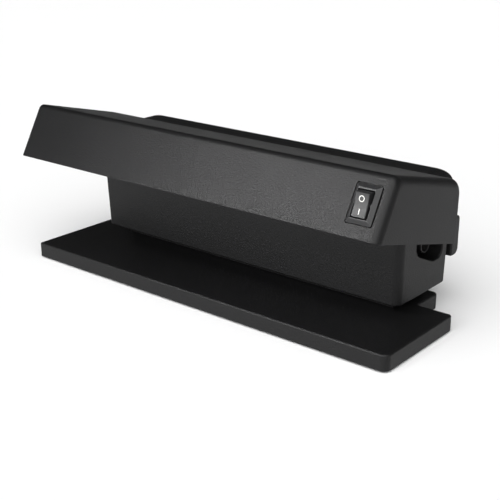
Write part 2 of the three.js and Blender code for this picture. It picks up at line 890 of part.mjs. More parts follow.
function hoodBlock() {
  const radii = [0, 0, hoodNape, hoodBrow];
  const plain = prismX(roundedShape(hoodProfile(0), radii), -hoodLength / 2, hoodLength / 2);
  return common(plain, hoodRounding());
}

function hoodHollow() {
  const points = hoodProfile(-hoodWall);
  const lipInner = points[0];
  const tailInner = points[1];
  const down = 2 * hoodEdge;
  const open = [
    new THREE.Vector2(lipInner.x - down / Math.tan(hoodFaceAngle), lipInner.y - down),
    new THREE.Vector2(tailInner.x, tailInner.y - down),
    points[2],
    points[3],
  ];
  const half = hoodLength / 2 - hoodWall;
  return prismX(new THREE.Shape(open), -half, half);
}

const traySpots = [-1, 1].map((side) => side * (hoodLength / 2 - hoodWall - traySideMargin));

function deckRod(x, y, z0, z1, radius) {
  return uprightRod(x, y, z0, z1, radius).applyMatrix4(deckFrame);
}

function makeHood() {
  const ceiling = hoodFaceHeight * Math.sin(hoodFaceAngle + hoodLipSlope) - hoodWall / 2;
  const trayBosses = traySpots.map((x) => deckRod(x, trayScrewReach, trayTop + seatGap, ceiling, bossRadius));
  const screwBosses = hoodScrewSpots.map((x) =>
    uprightRod(x, hoodScrewY, housingTop + seatGap, housingTop + bossDepth, bossRadius),
  );
  const ledgeBack = trayInset - seatGap;
  const ledgeShape = new THREE.Shape([
    new THREE.Vector2(hoodWall / 2, ledgeBack - ledgeThickness),
    new THREE.Vector2(traySetback + ledgeReach, ledgeBack - ledgeThickness),
    new THREE.Vector2(traySetback + ledgeReach, ledgeBack),
    new THREE.Vector2(hoodWall / 2, ledgeBack),
  ]);
  const ledgeHalf = hoodLength / 2 - hoodWall / 2;
  const ledge = prismX(ledgeShape, -ledgeHalf, ledgeHalf).applyMatrix4(deckFrame);
  const inner = joined(...trayBosses, ...screwBosses, ledge);
  let shell = cut(hoodBlock(), hoodHollow());
  shell = joined(shell, common(inner, hoodBlock()));
  const trayHoles = traySpots.map((x) =>
    deckRod(x, trayScrewReach, 0, trayTop + bossDepth, shankRadius + seatGap),
  );
  const screwHoles = hoodScrewSpots.map((x) =>
    uprightRod(x, hoodScrewY, housingTop - overrun, housingTop + bossDepth / 2, shankRadius + seatGap),
  );
  const halfWidth = switchBodyWidth / 2 + seatGap;
  const halfHeight = switchBodyHeight / 2 + seatGap;
  const switchHole = box(-halfWidth, halfWidth, -halfHeight, halfHeight, -switchBodyDepth, overrun);
  switchHole.applyMatrix4(switchFrame);
  shell = cut(shell, housingSolid(seatGap), switchHole, ...trayHoles, ...screwHoles);
  add(assembly, "hood_shell", shell, blackPlastic);
  const headSeat = housingTop - wall - seatGap;
  hoodScrewSpots.forEach((x, i) => {
    addScrew(assembly, `hood_screw_${i + 1}`, x, hoodScrewY, headSeat, 0, shortShankLength);
  });
}

// Lamp deck, in its own tilted frame: Y runs back from the lip along the hood's lower edge

function deckReach(worldY, deckZ) {
  return (worldY - lip.x - deckZ * Math.sin(hoodLipSlope)) / Math.cos(hoodLipSlope);
}

function makeTray() {
  const half = hoodLength / 2 - hoodWall - seatGap;
  const wing = housingHalf(housingTop) + 2 * seatGap;
  const back = deckReach(housingFront - housingLean, trayTop) - 2 * seatGap;
  const wingBack = deckReach(tail.x - hoodWall, trayTop) - seatGap;
  const outline = new THREE.Shape([
    new THREE.Vector2(-half, traySetback),
    new THREE.Vector2(half, traySetback),
    new THREE.Vector2(half, wingBack),
    new THREE.Vector2(wing, wingBack),
    new THREE.Vector2(wing, back),
    new THREE.Vector2(-wing, back),
    new THREE.Vector2(-wing, wingBack),
    new THREE.Vector2(-half, wingBack),
  ]);
  const plate = prismZ(outline, trayInset, trayTop);
  const windowHalf = lampBay / 2 + 2 * seatGap;
  const mouth = box(
    lampOffset - windowHalf,
    lampOffset + windowHalf,
    lampReach - troughMouth / 2,
    lampReach + troughMouth / 2,
    0,
    trayTop + overrun,
  );
  const holes = traySpots.map((x) =>
    uprightRod(x, trayScrewReach, 0, trayTop + overrun, shankRadius + seatGap),
  );
  add(lampDeck, "lamp_tray", cut(plate, mouth, ...holes), blackPlastic);
  traySpots.forEach((x, i) => {
    addScrew(lampDeck, `tray_screw_${i + 1}`, x, trayScrewReach, trayInset - seatGap);
  });
}

const reflectorHalf = lampBay / 2 + seatGap;

function makeReflector() {
  const low = trayTop + seatGap;
  const mouth = troughMouth / 2;
  const ceiling = troughCeiling / 2;
  const rearSide = [
    [ceiling, troughTop - sheetThickness],
    [mouth, low],
    [mouth + troughFlange, low],
    [mouth + troughFlange, low + sheetThickness],
    [mouth + sheetThickness, low + sheetThickness],
    [ceiling + sheetThickness, troughTop],
  ];
  const frontSide = rearSide.map(([y, z]) => [-y, z]).reverse();
  const outline = [...rearSide, ...frontSide].map(([y, z]) => new THREE.Vector2(lampReach + y, z));
  const sheet = prismX(new THREE.Shape(outline), lampOffset - reflectorHalf, lampOffset + reflectorHalf);
  add(lampDeck, "reflector", sheet, aluminium);
}

function makeHolders() {
  const top = troughTop - sheetThickness - seatGap;
  for (const [side, name] of [
    [-1, "lamp_holder_left"],
    [1, "lamp_holder_right"],
  ]) {
    const near = lampOffset + side * (lampBay / 2 - holderThickness);
    const far = lampOffset + (side * lampBay) / 2;
    const block = box(
      Math.min(near, far),
      Math.max(near, far),
      lampReach - holderWidth / 2,
      lampReach + holderWidth / 2,
      trayTop - trayThickness,
      top,
    );
    const pocketStart = new THREE.Vector3(near - side * overrun, lampAxis.y, lampAxis.z);
    const pocketEnd = new THREE.Vector3(near + side * holderPocketDepth, lampAxis.y, lampAxis.z);
    const pocket = rod(pocketStart, pocketEnd, holderPocketRadius);
    const slot = box(
      Math.min(pocketStart.x, pocketEnd.x),
      Math.max(pocketStart.x, pocketEnd.x),
      lampAxis.y - holderSlot / 2,
      lampAxis.y + holderSlot / 2,
      0,
      lampAxis.z,
    );
    add(lampDeck, name, cut(block, pocket, slot), whitePlastic);
  }
}

function makeLamp() {
  const half = lampLength / 2;
  const glassHalf = half - capLength - seatGap;
  const inner = glassRadius - glassThickness;
  const glass = new THREE.LatheGeometry(
    [
      new THREE.Vector2(inner, -glassHalf),
      new THREE.Vector2(glassRadius, -glassHalf),
      new THREE.Vector2(glassRadius, glassHalf),
      new THREE.Vector2(inner, glassHalf),
      new THREE.Vector2(inner, -glassHalf),
    ],
    roundSides,
  ).rotateZ(-Math.PI / 2);
  add(lampDeck, "uv_tube", glass, violetGlass).position.copy(lampAxis);
  for (const [side, name] of [
    [-1, "tube_cap_left"],
    [1, "tube_cap_right"],
  ]) {
    const point = (x, y) => new THREE.Vector3(side * x, y, 0);
    const shell = rod(point(half - capLength, 0), point(half, 0), lampRadius);
    const plug = rod(point(glassHalf - capPlug, 0), point(half - seatGap, 0), inner - seatGap);
    const pins = [-1, 1].map((end) => {
      const y = (end * lampPinPitch) / 2;
      return rod(point(half - seatGap, y), point(half + lampPinLength, y), lampPinRadius, cornerSteps * 2);
    });
    add(lampDeck, name, joined(shell, plug, ...pins), aluminium).position.copy(lampAxis);
  }
}

// Switch, in the face's frame: X along the hood, Y up the slope, Z outwards

function makeSwitch() {
  const flange = common(
    prismZ(
      rectangle(-bezelWidth / 2, bezelWidth / 2, -bezelHeight / 2, bezelHeight / 2),
      seatGap - bezelThickness,
      bezelThickness,
    ),
    bezelCap(),
  );
  const halfWidth = switchBodyWidth / 2;
  const halfHeight = switchBodyHeight / 2;
  const body = box(-halfWidth, halfWidth, -halfHeight, halfHeight, -switchBodyDepth, bezelThickness / 2);
  const window = box(
    -windowWidth / 2,
    windowWidth / 2,
    -windowHeight / 2,
    windowHeight / 2,
    bezelThickness - windowDepth,
    bezelThickness + overrun,
  );
  const pivotZ = bezelThickness - rockerPivotDepth;
  const axleHalf = windowWidth / 2 + axleEnd;
  const axleHole = rod(
    new THREE.Vector3(-axleHalf - seatGap, 0, pivotZ),
    new THREE.Vector3(axleHalf + seatGap, 0, pivotZ),
    axleRadius + seatGap,
  );
  const slots = [-1, 1].map((side) => {
    const y = (side * bladePitch) / 2;
    return box(
      -bladeWidth / 2 - seatGap,
      bladeWidth / 2 + seatGap,
      y - bladeThickness / 2 - seatGap,
      y + bladeThickness / 2 + seatGap,
      -switchBodyDepth - overrun,
      bladeRoot - switchBodyDepth + seatGap,
    );
  });
  add(switchUnit, "switch_body", cut(joined(flange, body), window, axleHole, ...slots), darkPlastic);
  const axle = rod(
    new THREE.Vector3(-axleHalf, 0, 0),
    new THREE.Vector3(axleHalf, 0, 0),
    axleRadius,
    cornerSteps * 2,
  );
  add(switchUnit, "rocker_pin", axle, steel).position.z = pivotZ;
  [-1, 1].forEach((side, i) => {
    const y = (side * bladePitch) / 2;
    const blade = box(
      -bladeWidth / 2,
      bladeWidth / 2,
      y - bladeThickness / 2,
      y + bladeThickness / 2,
      -switchBodyDepth - bladeLength,
      bladeRoot - switchBodyDepth,
    );
    add(switchUnit, `switch_blade_${i + 1}`, blade, brass);
  });
}

// The bezel's front edges are bevelled: a frustum over the flange
function bezelCap() {
  const geometry = new THREE.BoxGeometry(bezelWidth, bezelHeight, bezelThickness - seatGap);
  geometry.translate(0, 0, (bezelThickness + seatGap) / 2);
  const position = geometry.getAttribute("position");
  for (let i = 0; i < position.count; i += 1) {
    if (position.getZ(i) > bezelThickness / 2) {
      position.setX(i, position.getX(i) - Math.sign(position.getX(i)) * bezelBevel);
      position.setY(i, position.getY(i) - Math.sign(position.getY(i)) * bezelBevel);
    }
  }
  return geometry;
}

// The rocker swings about its axle between its two tilts. It is built at mid swing and tilted to on.
function makeRocker() {
  const endAngle = Math.asin(rockerCrown / rockerRadius);
  const keelAngle = -Math.asin(rockerKeel / rockerRadius);
  const arc = Array.from({ length: cornerSteps + 1 }, (_, i) => {
    const angle = keelAngle + ((endAngle - keelAngle) * i) / cornerSteps;
    return new THREE.Vector2(rockerRadius * Math.cos(angle), rockerRadius * Math.sin(angle));
  });
  const outline = [
    ...arc,
    new THREE.Vector2(0, rockerValley),
    ...arc.map((point) => new THREE.Vector2(-point.x, point.y)).reverse(),
  ];
  const block = prismX(new THREE.Shape(outline), -rockerWidth / 2, rockerWidth / 2);
  const bore = rod(
    new THREE.Vector3(-rockerWidth, 0, 0),
    new THREE.Vector3(rockerWidth, 0, 0),
    axleRadius + seatGap,
  );
  const rocker = add(switchUnit, "switch_rocker", cut(block, bore), darkPlastic);
  rocker.position.z = bezelThickness - rockerPivotDepth;
  rocker.rotation.x = rockerTilt;
}

// Mains parts on the housing's floor

function makeStarter() {
  const socket = prismZ(
    rectangle(
      starterX - socketSide / 2,
      starterX + socketSide / 2,
      housingMiddle - socketSide / 2,
      housingMiddle + socketSide / 2,
      socketCorner,
    ),
    housingFloor,
    housingFloor + socketHeight,
  );
  const spots = [-1, 1].map((side) => starterX + (side * starterPinPitch) / 2);
  const seat = housingFloor + socketHeight;
  const holeFloor = seat - starterPinLength - seatGap;
  const holes = spots.map((x) =>
    uprightRod(x, housingMiddle, holeFloor, seat + overrun, starterPinRadius + seatGap),
  );
  add(assembly, "starter_socket", cut(socket, ...holes), whitePlastic);
  const low = seat + seatGap;
  const profile = [
    new THREE.Vector2(0, low),
    new THREE.Vector2(starterRadius, low),
    new THREE.Vector2(starterRadius, low + starterHeight - starterEdge),
    new THREE.Vector2(starterRadius - starterEdge, low + starterHeight),
    new THREE.Vector2(0, low + starterHeight),
  ];
  const can = new THREE.LatheGeometry(profile, roundSides).rotateX(Math.PI / 2);
  can.translate(starterX, housingMiddle, 0);
  const pins = spots.map((x) =>
    uprightRod(x, housingMiddle, low - starterPinLength, low + starterEdge, starterPinRadius),
  );
  add(assembly, "starter", joined(can, ...pins), whitePlastic);
}

const coreLow = housingFloor + bracketThickness + seatGap;
const windingLow = coreLow + (coreHeight - coreWindowHeight) / 2 + seatGap;
const windingHigh = windingLow + coreWindowHeight - 2 * seatGap;
const windingHalf = coreThickness / 2 + windingOverhang;

function makeChoke() {
  const half = coreLength / 2;
  const legHalf = coreLeg / 2;
  const front = housingMiddle - coreThickness / 2;
  const rear = housingMiddle + coreThickness / 2;
  const core = box(chokeX - half, chokeX + half, front, rear, coreLow, coreLow + coreHeight);
  const windows = [-1, 1].map((side) => {
    const near = chokeX + side * legHalf;
    const far = chokeX + side * (legHalf + coreWindowLength);
    return box(
      Math.min(near, far),
      Math.max(near, far),
      front - overrun,
      rear + overrun,
      windingLow - seatGap,
      windingHigh + seatGap,
    );
  });
  add(assembly, "choke_core", cut(core, ...windows), steel);
  const outerHalf = legHalf + coreWindowLength - seatGap;
  const ring = prismZ(
    rectangle(
      chokeX - outerHalf,
      chokeX + outerHalf,
      housingMiddle - windingHalf,
      housingMiddle + windingHalf,
      windingCorner,
    ),
    windingLow,
    windingHigh,
  );
  const legHole = box(
    chokeX - legHalf - seatGap,
    chokeX + legHalf + seatGap,
    front - seatGap,
    rear + seatGap,
    windingLow - overrun,
    windingHigh + overrun,
  );
  add(assembly, "choke_winding", cut(ring, legHole), copper);

  const strip = box(
    chokeX - bracketHalf,
    chokeX + bracketHalf,
    front,
    rear,
    housingFloor,
    housingFloor + bracketThickness,
  );
  const tabs = [-1, 1].map((side) => {
    const near = chokeX + side * (half + seatGap);
    const far = near + side * bracketThickness;
    return box(Math.min(near, far), Math.max(near, far), front, rear, housingFloor, coreLow + bracketTab);
  });
  const holes = bracketScrewSpots.map((x) =>
    uprightRod(x, housingMiddle, housingFoot, housingFloor + overrun, shankRadius + seatGap),
  );
  add(assembly, "choke_bracket", cut(joined(strip, ...tabs), ...holes), steel);
  bracketScrewSpots.forEach((x, i) => {
    addScrew(assembly, `choke_screw_${i + 1}`, x, housingMiddle, coreLow, Math.PI, bracketShankLength);
  });
}

function makeTerminalBlock() {
  const low = housingFloor;
  const block = box(
    blockX - blockHalf,
    blockX + blockHalf,
    housingMiddle - blockDepth / 2,
    housingMiddle + blockDepth / 2,
    low,
    low + blockHeight,
  );
  const poles = Array.from({ length: blockPoles }, (_, i) => blockX + (i - (blockPoles - 1) / 2) * blockPole);
  const bores = poles.map((x) =>
    rod(
      new THREE.Vector3(x, housingMiddle - blockDepth, low + blockHeight / 2),
      new THREE.Vector3(x, housingMiddle + blockDepth, low + blockHeight / 2),
      blockBore,
      cornerSteps * 2,
    ),
  );
  const top = low + blockHeight;
  const wells = poles.map((x) =>
    uprightRod(x, housingMiddle, top - blockScrewDepth, top + overrun, blockScrewBore),
  );
  add(assembly, "terminal_block", cut(block, ...bores, ...wells), whitePlastic);
}

// Wires, as tubes along smooth curves

function addWire(name, points, material) {
  const curve = new THREE.CatmullRomCurve3(points, false, "centripetal");
  const section = new THREE.Shape().absarc(0, 0, wireRadius, 0, 2 * Math.PI, false);
  const geometry = new THREE.ExtrudeGeometry(section, {
    steps: Math.ceil(curve.getLength() / wireStep),
    curveSegments: wireSides / 2,
    extrudePath: curve,
  });
  add(assembly, name, geometry, material);
}

// The end of a wire and a second point straight out of it
function lead(point, away, length = wireLead) {
  const end = point.clone().addScaledVector(away, seatGap);
  return [end, end.clone().addScaledVector(away, length)];
}

// The same two points for the wire's far end
function arrival(point, away, length = wireLead) {
  return lead(point, away, length).reverse();
}

// Through one of the two holes in the housing's front wall, from inside to outside
function pass(side, column, row) {
  const x = side * passX + column * passSpread;
  const z = passZ + row * passSpread;
  return [
    new THREE.Vector3(x, housingFront + wall + wireRadius, z),
    new THREE.Vector3(x, housingFront - housingLean - wireRadius, z),
  ];
}

// From behind the reflector round its left end
function roundReflector(z) {
  const end = lampOffset - reflectorHalf;
  const y = housingFront - housingLean - wall;
  return [
    new THREE.Vector3(end + shortLead, y, z),
    new THREE.Vector3(end - wireRadius - seatGap, y - wireRadius, z),
    new THREE.Vector3(end - shortLead, y - 2 * shortLead, z),
  ];
}

const right = new THREE.Vector3(1, 0, 0);
const left = new THREE.Vector3(-1, 0, 0);
const forwards = new THREE.Vector3(0, -1, 0);
const backwards = new THREE.Vector3(0, 1, 0);
const upwards = new THREE.Vector3(0, 0, 1);

// Where the wires end

function pinEnd(side) {
  const x = pocketFloor - inletBehind - contactTail;
  return new THREE.Vector3(x, inletY, inletZ + (side * contactPitch) / 2);
}

function bladeEnd(side) {
  const end = new THREE.Vector3(0, (side * bladePitch) / 2, -switchBodyDepth - bladeLength);
  return end.applyMatrix4(switchFrame);
}

// Two wires leave each holder's outer face, one high at the front and one low at the rear
function holderEnd(side, row) {
  const spread = holderWidth / 2 - lampRise + row * lampPinPitch;
  const x = lampOffset + (side * lampBay) / 2;
  return new THREE.Vector3(x, lampReach - spread, lampAxis.z + spread).applyMatrix4(deckFrame);
}

function windingEnd(side) {
  const front = housingMiddle - (windingHalf + coreThickness / 2) / 2;
  return new THREE.Vector3(chokeX + (side * coreLeg) / 2, front, windingHigh);
}

function socketEnd(side) {
  const x = starterX + (side * socketSide) / 2;
  return new THREE.Vector3(x, housingMiddle, housingFloor + socketHeight / 2);
}

function poleEnd(side) {
  const y = housingMiddle + (side * blockDepth) / 2;
  return new THREE.Vector3(blockX + blockPole, y, housingFloor + blockHeight / 2);
}

function makeWires() {
  const inwards = new THREE.Vector3(0, 0, -1).transformDirection(switchFrame);
  const laneZ = coreLow + coreHeight + wireLane;
  const rearLaneY = ledgeFace - wall - wireLane;
  const chokeLeft = chokeX - coreLength / 2;
  const chokeRight = chokeX + coreLength / 2;
  const blockRight = blockX + blockHalf;

  addWire(
    "wire_inlet_to_switch",
    [...lead(pinEnd(1), left), ...pass(1, 1, 1), ...arrival(bladeEnd(1), inwards, shortLead)],
    brownSleeve,
  );
  const [farPass] = pass(1, 1, -1);
  const under = farPass.clone().add(new THREE.Vector3(-wireLead, wireLane, -wireLead - shortLead));
  addWire(
    "wire_switch_to_choke",
    [
      ...lead(windingEnd(1), upwards),
      under,
      ...pass(1, 1, -1),
      ...arrival(bladeEnd(-1), inwards, shortLead),
    ],
    brownSleeve,
  );
  addWire(
    "wire_choke_to_lamp",
    [...lead(windingEnd(-1), upwards), ...pass(1, -1, -1), ...arrival(holderEnd(1, -1), right, shortLead)],
    whiteSleeve,
  );
  const besideChoke = new THREE.Vector3(chokeLeft - coreLeg, housingMiddle, laneZ);
  addWire(
    "wire_lamp_to_starter",
    [
      ...lead(socketEnd(1), right),
      besideChoke,
      ...pass(1, -1, 1),
      ...arrival(holderEnd(1, 1), right, shortLead),
    ],
    whiteSleeve,
  );
  const besideBlock = new THREE.Vector3((starterX - socketSide / 2 + blockRight) / 2, housingMiddle, laneZ);
  const [highPass] = pass(-1, 1, 1);
  addWire(
    "wire_starter_to_lamp",
    [
      ...lead(socketEnd(-1), left),
      besideBlock,
      ...pass(-1, 1, 1),
      ...roundReflector(highPass.z),
      ...arrival(holderEnd(-1, 1), left, shortLead),
    ],
    whiteSleeve,
  );
  const [lowPass] = pass(-1, -1, -1);
  addWire(
    "wire_lamp_to_block",
    [
      ...lead(poleEnd(-1), forwards),
      ...pass(-1, -1, -1),
      ...roundReflector(lowPass.z),
      ...arrival(holderEnd(-1, -1), left, shortLead),
    ],
    blueSleeve,
  );
  addWire(
    "wire_inlet_to_block",
    [
      ...lead(pinEnd(-1), left),
      new THREE.Vector3(chokeRight, rearLaneY, laneZ),
      new THREE.Vector3(blockRight, rearLaneY, laneZ),
      ...arrival(poleEnd(1), backwards),
    ],
    blueSleeve,
  );
}

makeBase();
makeUnderside();
makeHousing();
makeRearCover();
makeCordPosts();
makeInlet();
makeHood();
makeTray();
makeReflector();
makeHolders();
makeLamp();
makeSwitch();
makeRocker();
makeStarter();
makeChoke();
makeTerminalBlock();
makeWires();

export default detector;
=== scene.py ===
import json
import math
import bmesh
import bpy
import numpy as np
from mathutils import Matrix, Vector


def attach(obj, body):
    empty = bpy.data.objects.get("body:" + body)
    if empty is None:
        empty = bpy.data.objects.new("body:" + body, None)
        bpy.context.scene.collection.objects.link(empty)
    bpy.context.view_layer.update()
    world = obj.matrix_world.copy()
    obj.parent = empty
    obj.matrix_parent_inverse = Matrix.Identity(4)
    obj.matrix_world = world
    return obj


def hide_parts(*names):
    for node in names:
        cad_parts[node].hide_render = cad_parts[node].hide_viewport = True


# Counterfeit money detector: hood with lamp and switch, rear housing, base plate.
# Sizes are millimetres here and metres in Blender. X runs to the switch, Y to the rear, Z up.

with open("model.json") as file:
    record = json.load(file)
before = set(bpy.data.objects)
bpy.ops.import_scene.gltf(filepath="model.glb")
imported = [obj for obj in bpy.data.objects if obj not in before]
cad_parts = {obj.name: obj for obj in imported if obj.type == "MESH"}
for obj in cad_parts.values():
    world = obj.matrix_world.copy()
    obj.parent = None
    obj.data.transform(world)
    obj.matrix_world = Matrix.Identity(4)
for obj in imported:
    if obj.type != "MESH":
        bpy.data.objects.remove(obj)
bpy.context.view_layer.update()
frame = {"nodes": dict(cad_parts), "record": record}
mm = 0.001
seatGap = 0.3  # between pieces that touch
hair = 0.01  # by which a round end stops short of a half circle
pole = 0.1  # radius left at the middle of a turned piece
sliver = 0.004  # points nearer than this become one after a cut


# Shading: a socket that can be added to and multiplied
class Link:
    def __init__(self, graph, socket):
        self.graph = graph
        self.socket = socket

    # One maths node with this socket and another value
    def calc(self, operation, other):
        return self.graph.node("ShaderNodeMath", {"operation": operation}, {0: self, 1: other})

    def __add__(self, other):
        return self.calc("ADD", other)

    def __mul__(self, other):
        return self.calc("MULTIPLY", other)

    __radd__ = __add__
    __rmul__ = __mul__


class Graph:
    def __init__(self, owner):
        owner.use_nodes = True
        self.tree = owner.node_tree
        self.tree.nodes.clear()

    # One node: its settings first, then its sockets' values or links
    def node(self, kind, settings, sockets, output=0):
        made = self.tree.nodes.new(kind)
        for key, value in settings.items():
            setattr(made, key, value)
        for key, value in sockets.items():
            self.join(made.inputs[key], value)
        return None if output is None else Link(self, made.outputs[output])

    # A link is drawn, a colour gets its alpha, and anything else is set as it is
    def join(self, socket, value):
        if isinstance(value, Link):
            self.tree.links.new(value.socket, socket)
        elif isinstance(value, tuple) and socket.type == "RGBA":
            socket.default_value = (*value, 1)
        else:
            socket.default_value = value


class Finish(Graph):
    def __init__(self, name, **settings):
        self.material = bpy.data.materials.new(name)
        super().__init__(self.material)
        self.shader = self.tree.nodes.new("ShaderNodeBsdfPrincipled")
        self.output = self.tree.nodes.new("ShaderNodeOutputMaterial")
        self.tree.links.new(self.shader.outputs[0], self.output.inputs["Surface"])
        self.place = self.node("ShaderNodeTexCoord", {}, {}, "Object")
        self.feed(**settings)

    # Values or links for the shader's own sockets, with _ for the space in a name
    def feed(self, **sockets):
        for key, value in sockets.items():
            self.join(self.shader.inputs[key.replace("_", " ")], value)

    # Noise whose features are about that many millimetres in size
    def noise(self, size, detail=2.0, place=None):
        sockets = {"Vector": place or self.place, "Scale": 1 / (size * mm), "Detail": detail}
        return self.node("ShaderNodeTexNoise", {}, sockets)

    # A colour between two, by a factor
    def mix(self, factor, first, second):
        return self.node("ShaderNodeMix", {"data_type": "RGBA"}, {0: factor, 6: first, 7: second}, 2)

    # A relief that many millimetres deep, which tilts the normal
    def bump(self, height, depth):
        self.feed(Normal=self.node("ShaderNodeBump", {}, {"Height": height, "Distance": depth * mm}))


plastic = {"ior": 1.48, "patch": 38, "lighter": 1.22, "least": 0.0006, "spread": 0.05}


# Moulded plastic: its roughness less half the spread, plus fine grain by half and broad patches by all of it
def plasticFinish(name, colour, roughness, grain, depth, specular=0.5):
    finish = Finish(name, Specular_IOR_Level=specular, IOR=plastic["ior"])
    fine = finish.noise(grain)
    broad = finish.noise(plastic["patch"], 3.0)
    lighter = tuple(min(1, channel * plastic["lighter"] + plastic["least"]) for channel in colour)
    half = plastic["spread"] / 2
    gloss = (roughness - half) + fine * half + broad * plastic["spread"]
    finish.feed(Base_Color=finish.mix(broad, colour, lighter), Roughness=gloss)
    finish.bump(fine, depth)
    return finish.material


metal = {"grain": 0.6, "darker": 0.8, "spread": 0.14, "depth": 0.004}


# Drawn or plated metal: noise that can be drawn out along X sets its colour and gloss
def metalFinish(name, colour, roughness, stretch=1.0):
    finish = Finish(name, Metallic=1.0)
    along = finish.node("ShaderNodeMapping", {}, {"Vector": finish.place, "Scale": (stretch, 1, 1)})
    brushed = finish.noise(metal["grain"], 3.0, along)
    darker = tuple(channel * metal["darker"] for channel in colour)
    gloss = brushed * metal["spread"] + (roughness - metal["spread"] / 2)
    finish.feed(Base_Color=finish.mix(brushed, darker, colour), Roughness=gloss)
    finish.bump(brushed, metal["depth"])
    return finish.material


# Winding: wire width, waver, unevenness of gloss, the colour share left in the grooves by painted shade,
# gloss, its spread and groove depth
winding = {
    "wire": 0.7, "waver": 0.2, "uneven": 3, "darker": 0.45, "gloss": 0.28, "spread": 0.2, "depth": 0.12,
}
wavePeriod = math.tau / 20  # of the wave texture at a scale of 1


# Enamelled copper wire wound in layers: a groove round the coil for each width of wire, and painted shade
# that darkens the colour into each groove
def windingFinish(name, colour):
    w = winding
    finish = Finish(name, Metallic=0.85)
    sockets = {"Vector": finish.place, "Scale": wavePeriod / (w["wire"] * mm), "Distortion": w["waver"]}
    grooves = finish.node("ShaderNodeTexWave", {"wave_type": "BANDS", "bands_direction": "Z"}, sockets)
    # Painted shade: the colour falls to the darker share where the groove sinks, the same bands that drive
    # the bump
    darker = tuple(channel * w["darker"] for channel in colour)
    gloss = finish.noise(w["uneven"]) * w["spread"] + w["gloss"]
    finish.feed(Base_Color=finish.mix(grooves, darker, colour), Roughness=gloss)
    finish.bump(grooves, w["depth"])
    return finish.material


glass = {"cloud": 9, "lighter": 1.7, "least": 0.01, "gloss": 0.07, "spread": 0.06}


# Violet glass: clear gloss over a deep, slightly uneven filter colour
def glassFinish(name, colour):
    finish = Finish(name, IOR=1.5, Coat_Weight=0.6, Coat_Roughness=0.04)
    cloud = finish.noise(glass["cloud"])
    lighter = tuple(min(1, channel * glass["lighter"] + glass["least"]) for channel in colour)
    gloss = cloud * glass["spread"] + glass["gloss"]
    finish.feed(Base_Color=finish.mix(cloud, colour, lighter), Roughness=gloss)
    return finish.material


# Plastics: colour, mean roughness, size and depth of the grain, specular level
finishes = {
    "black_plastic": plasticFinish("black_plastic", (0.0026, 0.0026, 0.0028), 0.48, 0.9, 0.16, 0.27),
    "switch_plastic": plasticFinish("switch_plastic", (0.011, 0.011, 0.0115), 0.45, 0.3, 0.006, 0.4),
    "white_plastic": plasticFinish("white_plastic", (0.58, 0.575, 0.55), 0.42, 0.4, 0.008),
    "rubber": plasticFinish("rubber", (0.02, 0.02, 0.02), 0.82, 0.7, 0.05, 0.25),
    "steel": metalFinish("steel", (0.55, 0.55, 0.56), 0.32),
    "aluminium": metalFinish("aluminium", (0.83, 0.84, 0.86), 0.2, 0.12),
    "brass": metalFinish("brass", (0.78, 0.56, 0.26), 0.28),
    "copper": windingFinish("copper", (0.72, 0.3, 0.13)),
    "violet_glass": glassFinish("violet_glass", (0.035, 0.012, 0.11)),
    "brown_sleeve": plasticFinish("brown_sleeve", (0.13, 0.05, 0.025), 0.45, 0.8, 0.01),
    "blue_sleeve": plasticFinish("blue_sleeve", (0.02, 0.09, 0.42), 0.45, 0.8, 0.01),
    "white_sleeve": plasticFinish("white_sleeve", (0.68, 0.68, 0.66), 0.45, 0.8, 0.01),
}
slotOf = {part["node"]: part["material_slot"] for part in frame["record"]["subparts"]}
print("finishes made", len(finishes))


# Each corner becomes an arc that touches both of its edges
def roundedOutline(corners, radii, steps=6):
    here = np.asarray(corners, float)
    radius = np.broadcast_to(np.asarray(radii, float), len(here))[:, None]
    ahead = np.roll(here, -1, 0) - here
    ahead /= np.linalg.norm(ahead, axis=1, keepdims=True)
    behind = np.roll(ahead, 1, 0)
    turn = np.arctan2(behind[:, 0] * ahead[:, 1] - behind[:, 1] * ahead[:, 0], (behind * ahead).sum(1))
    start = here - behind * radius * np.tan(np.abs(turn) / 2)[:, None]
    side = np.sign(turn)[:, None] * np.stack([-behind[:, 1], behind[:, 0]], 1)
    angle = np.linspace(0, 1, steps + 1)[None, :, None] * turn[:, None, None]
    spoke = (-side * radius)[:, None, :]
    x = spoke[..., :1] * np.cos(angle) - spoke[..., 1:] * np.sin(angle)
    y = spoke[..., :1] * np.sin(angle) + spoke[..., 1:] * np.cos(angle)
    return (np.concatenate([x, y], 2) + (start + side * radius)[:, None, :]).reshape(-1, 2)


# Each edge moves inwards by its distance, and neighbouring edges meet in the new corners
def insetCorners(corners, distances):
    here = np.asarray(corners, float)
    ahead = np.roll(here, -1, 0) - here
    ahead /= np.linalg.norm(ahead, axis=1, keepdims=True)
    inward = np.stack([-ahead[:, 1], ahead[:, 0]], 1)
    level = (inward * here).sum(1) + np.broadcast_to(np.asarray(distances, float), len(here))
    pairs = np.stack([np.roll(inward, 1, 0), inward], 1)
    levels = np.stack([np.roll(level, 1), level], 1)
    return np.linalg.solve(pairs, levels[..., None])[..., 0]


# The corners set in by their distances, then rounded
def insetOutline(corners, distances, radii, steps=6):
    return roundedOutline(insetCorners(corners, distances), radii, steps)


# Four corners, counter-clockwise
def rectangle(left, right, low, high):
    return np.array([(left, low), (right, low), (right, high), (left, high)], float)


# A rectangle round the origin
def centred(width, height):
    return rectangle(-width / 2, width / 2, -height / 2, height / 2)


# Points at even angles round a spot
def disc(radius, spot, sides=48):
    angle = np.arange(sides) / sides * math.tau
    return np.stack([np.cos(angle), np.sin(angle)], 1) * radius + spot


# A quarter circle as (inset, rise) pairs, from the side wall to the flat end
def quarterRound(radius, steps):
    angle = np.linspace(0, math.pi / 2, steps + 1)
    return np.stack([radius * (1 - np.cos(angle)), radius * np.sin(angle)], 1)


# A run from start to end as (inset, place) pairs, with a quarter circle at each end
def roundedRun(start, end, radii, steps):
    first = [(inset, start + radii[0] - rise) for inset, rise in quarterRound(radii[0], steps[0])[::-1]]
    last = [(inset, end - radii[1] + rise) for inset, rise in quarterRound(radii[1], steps[1])]
    return first + last


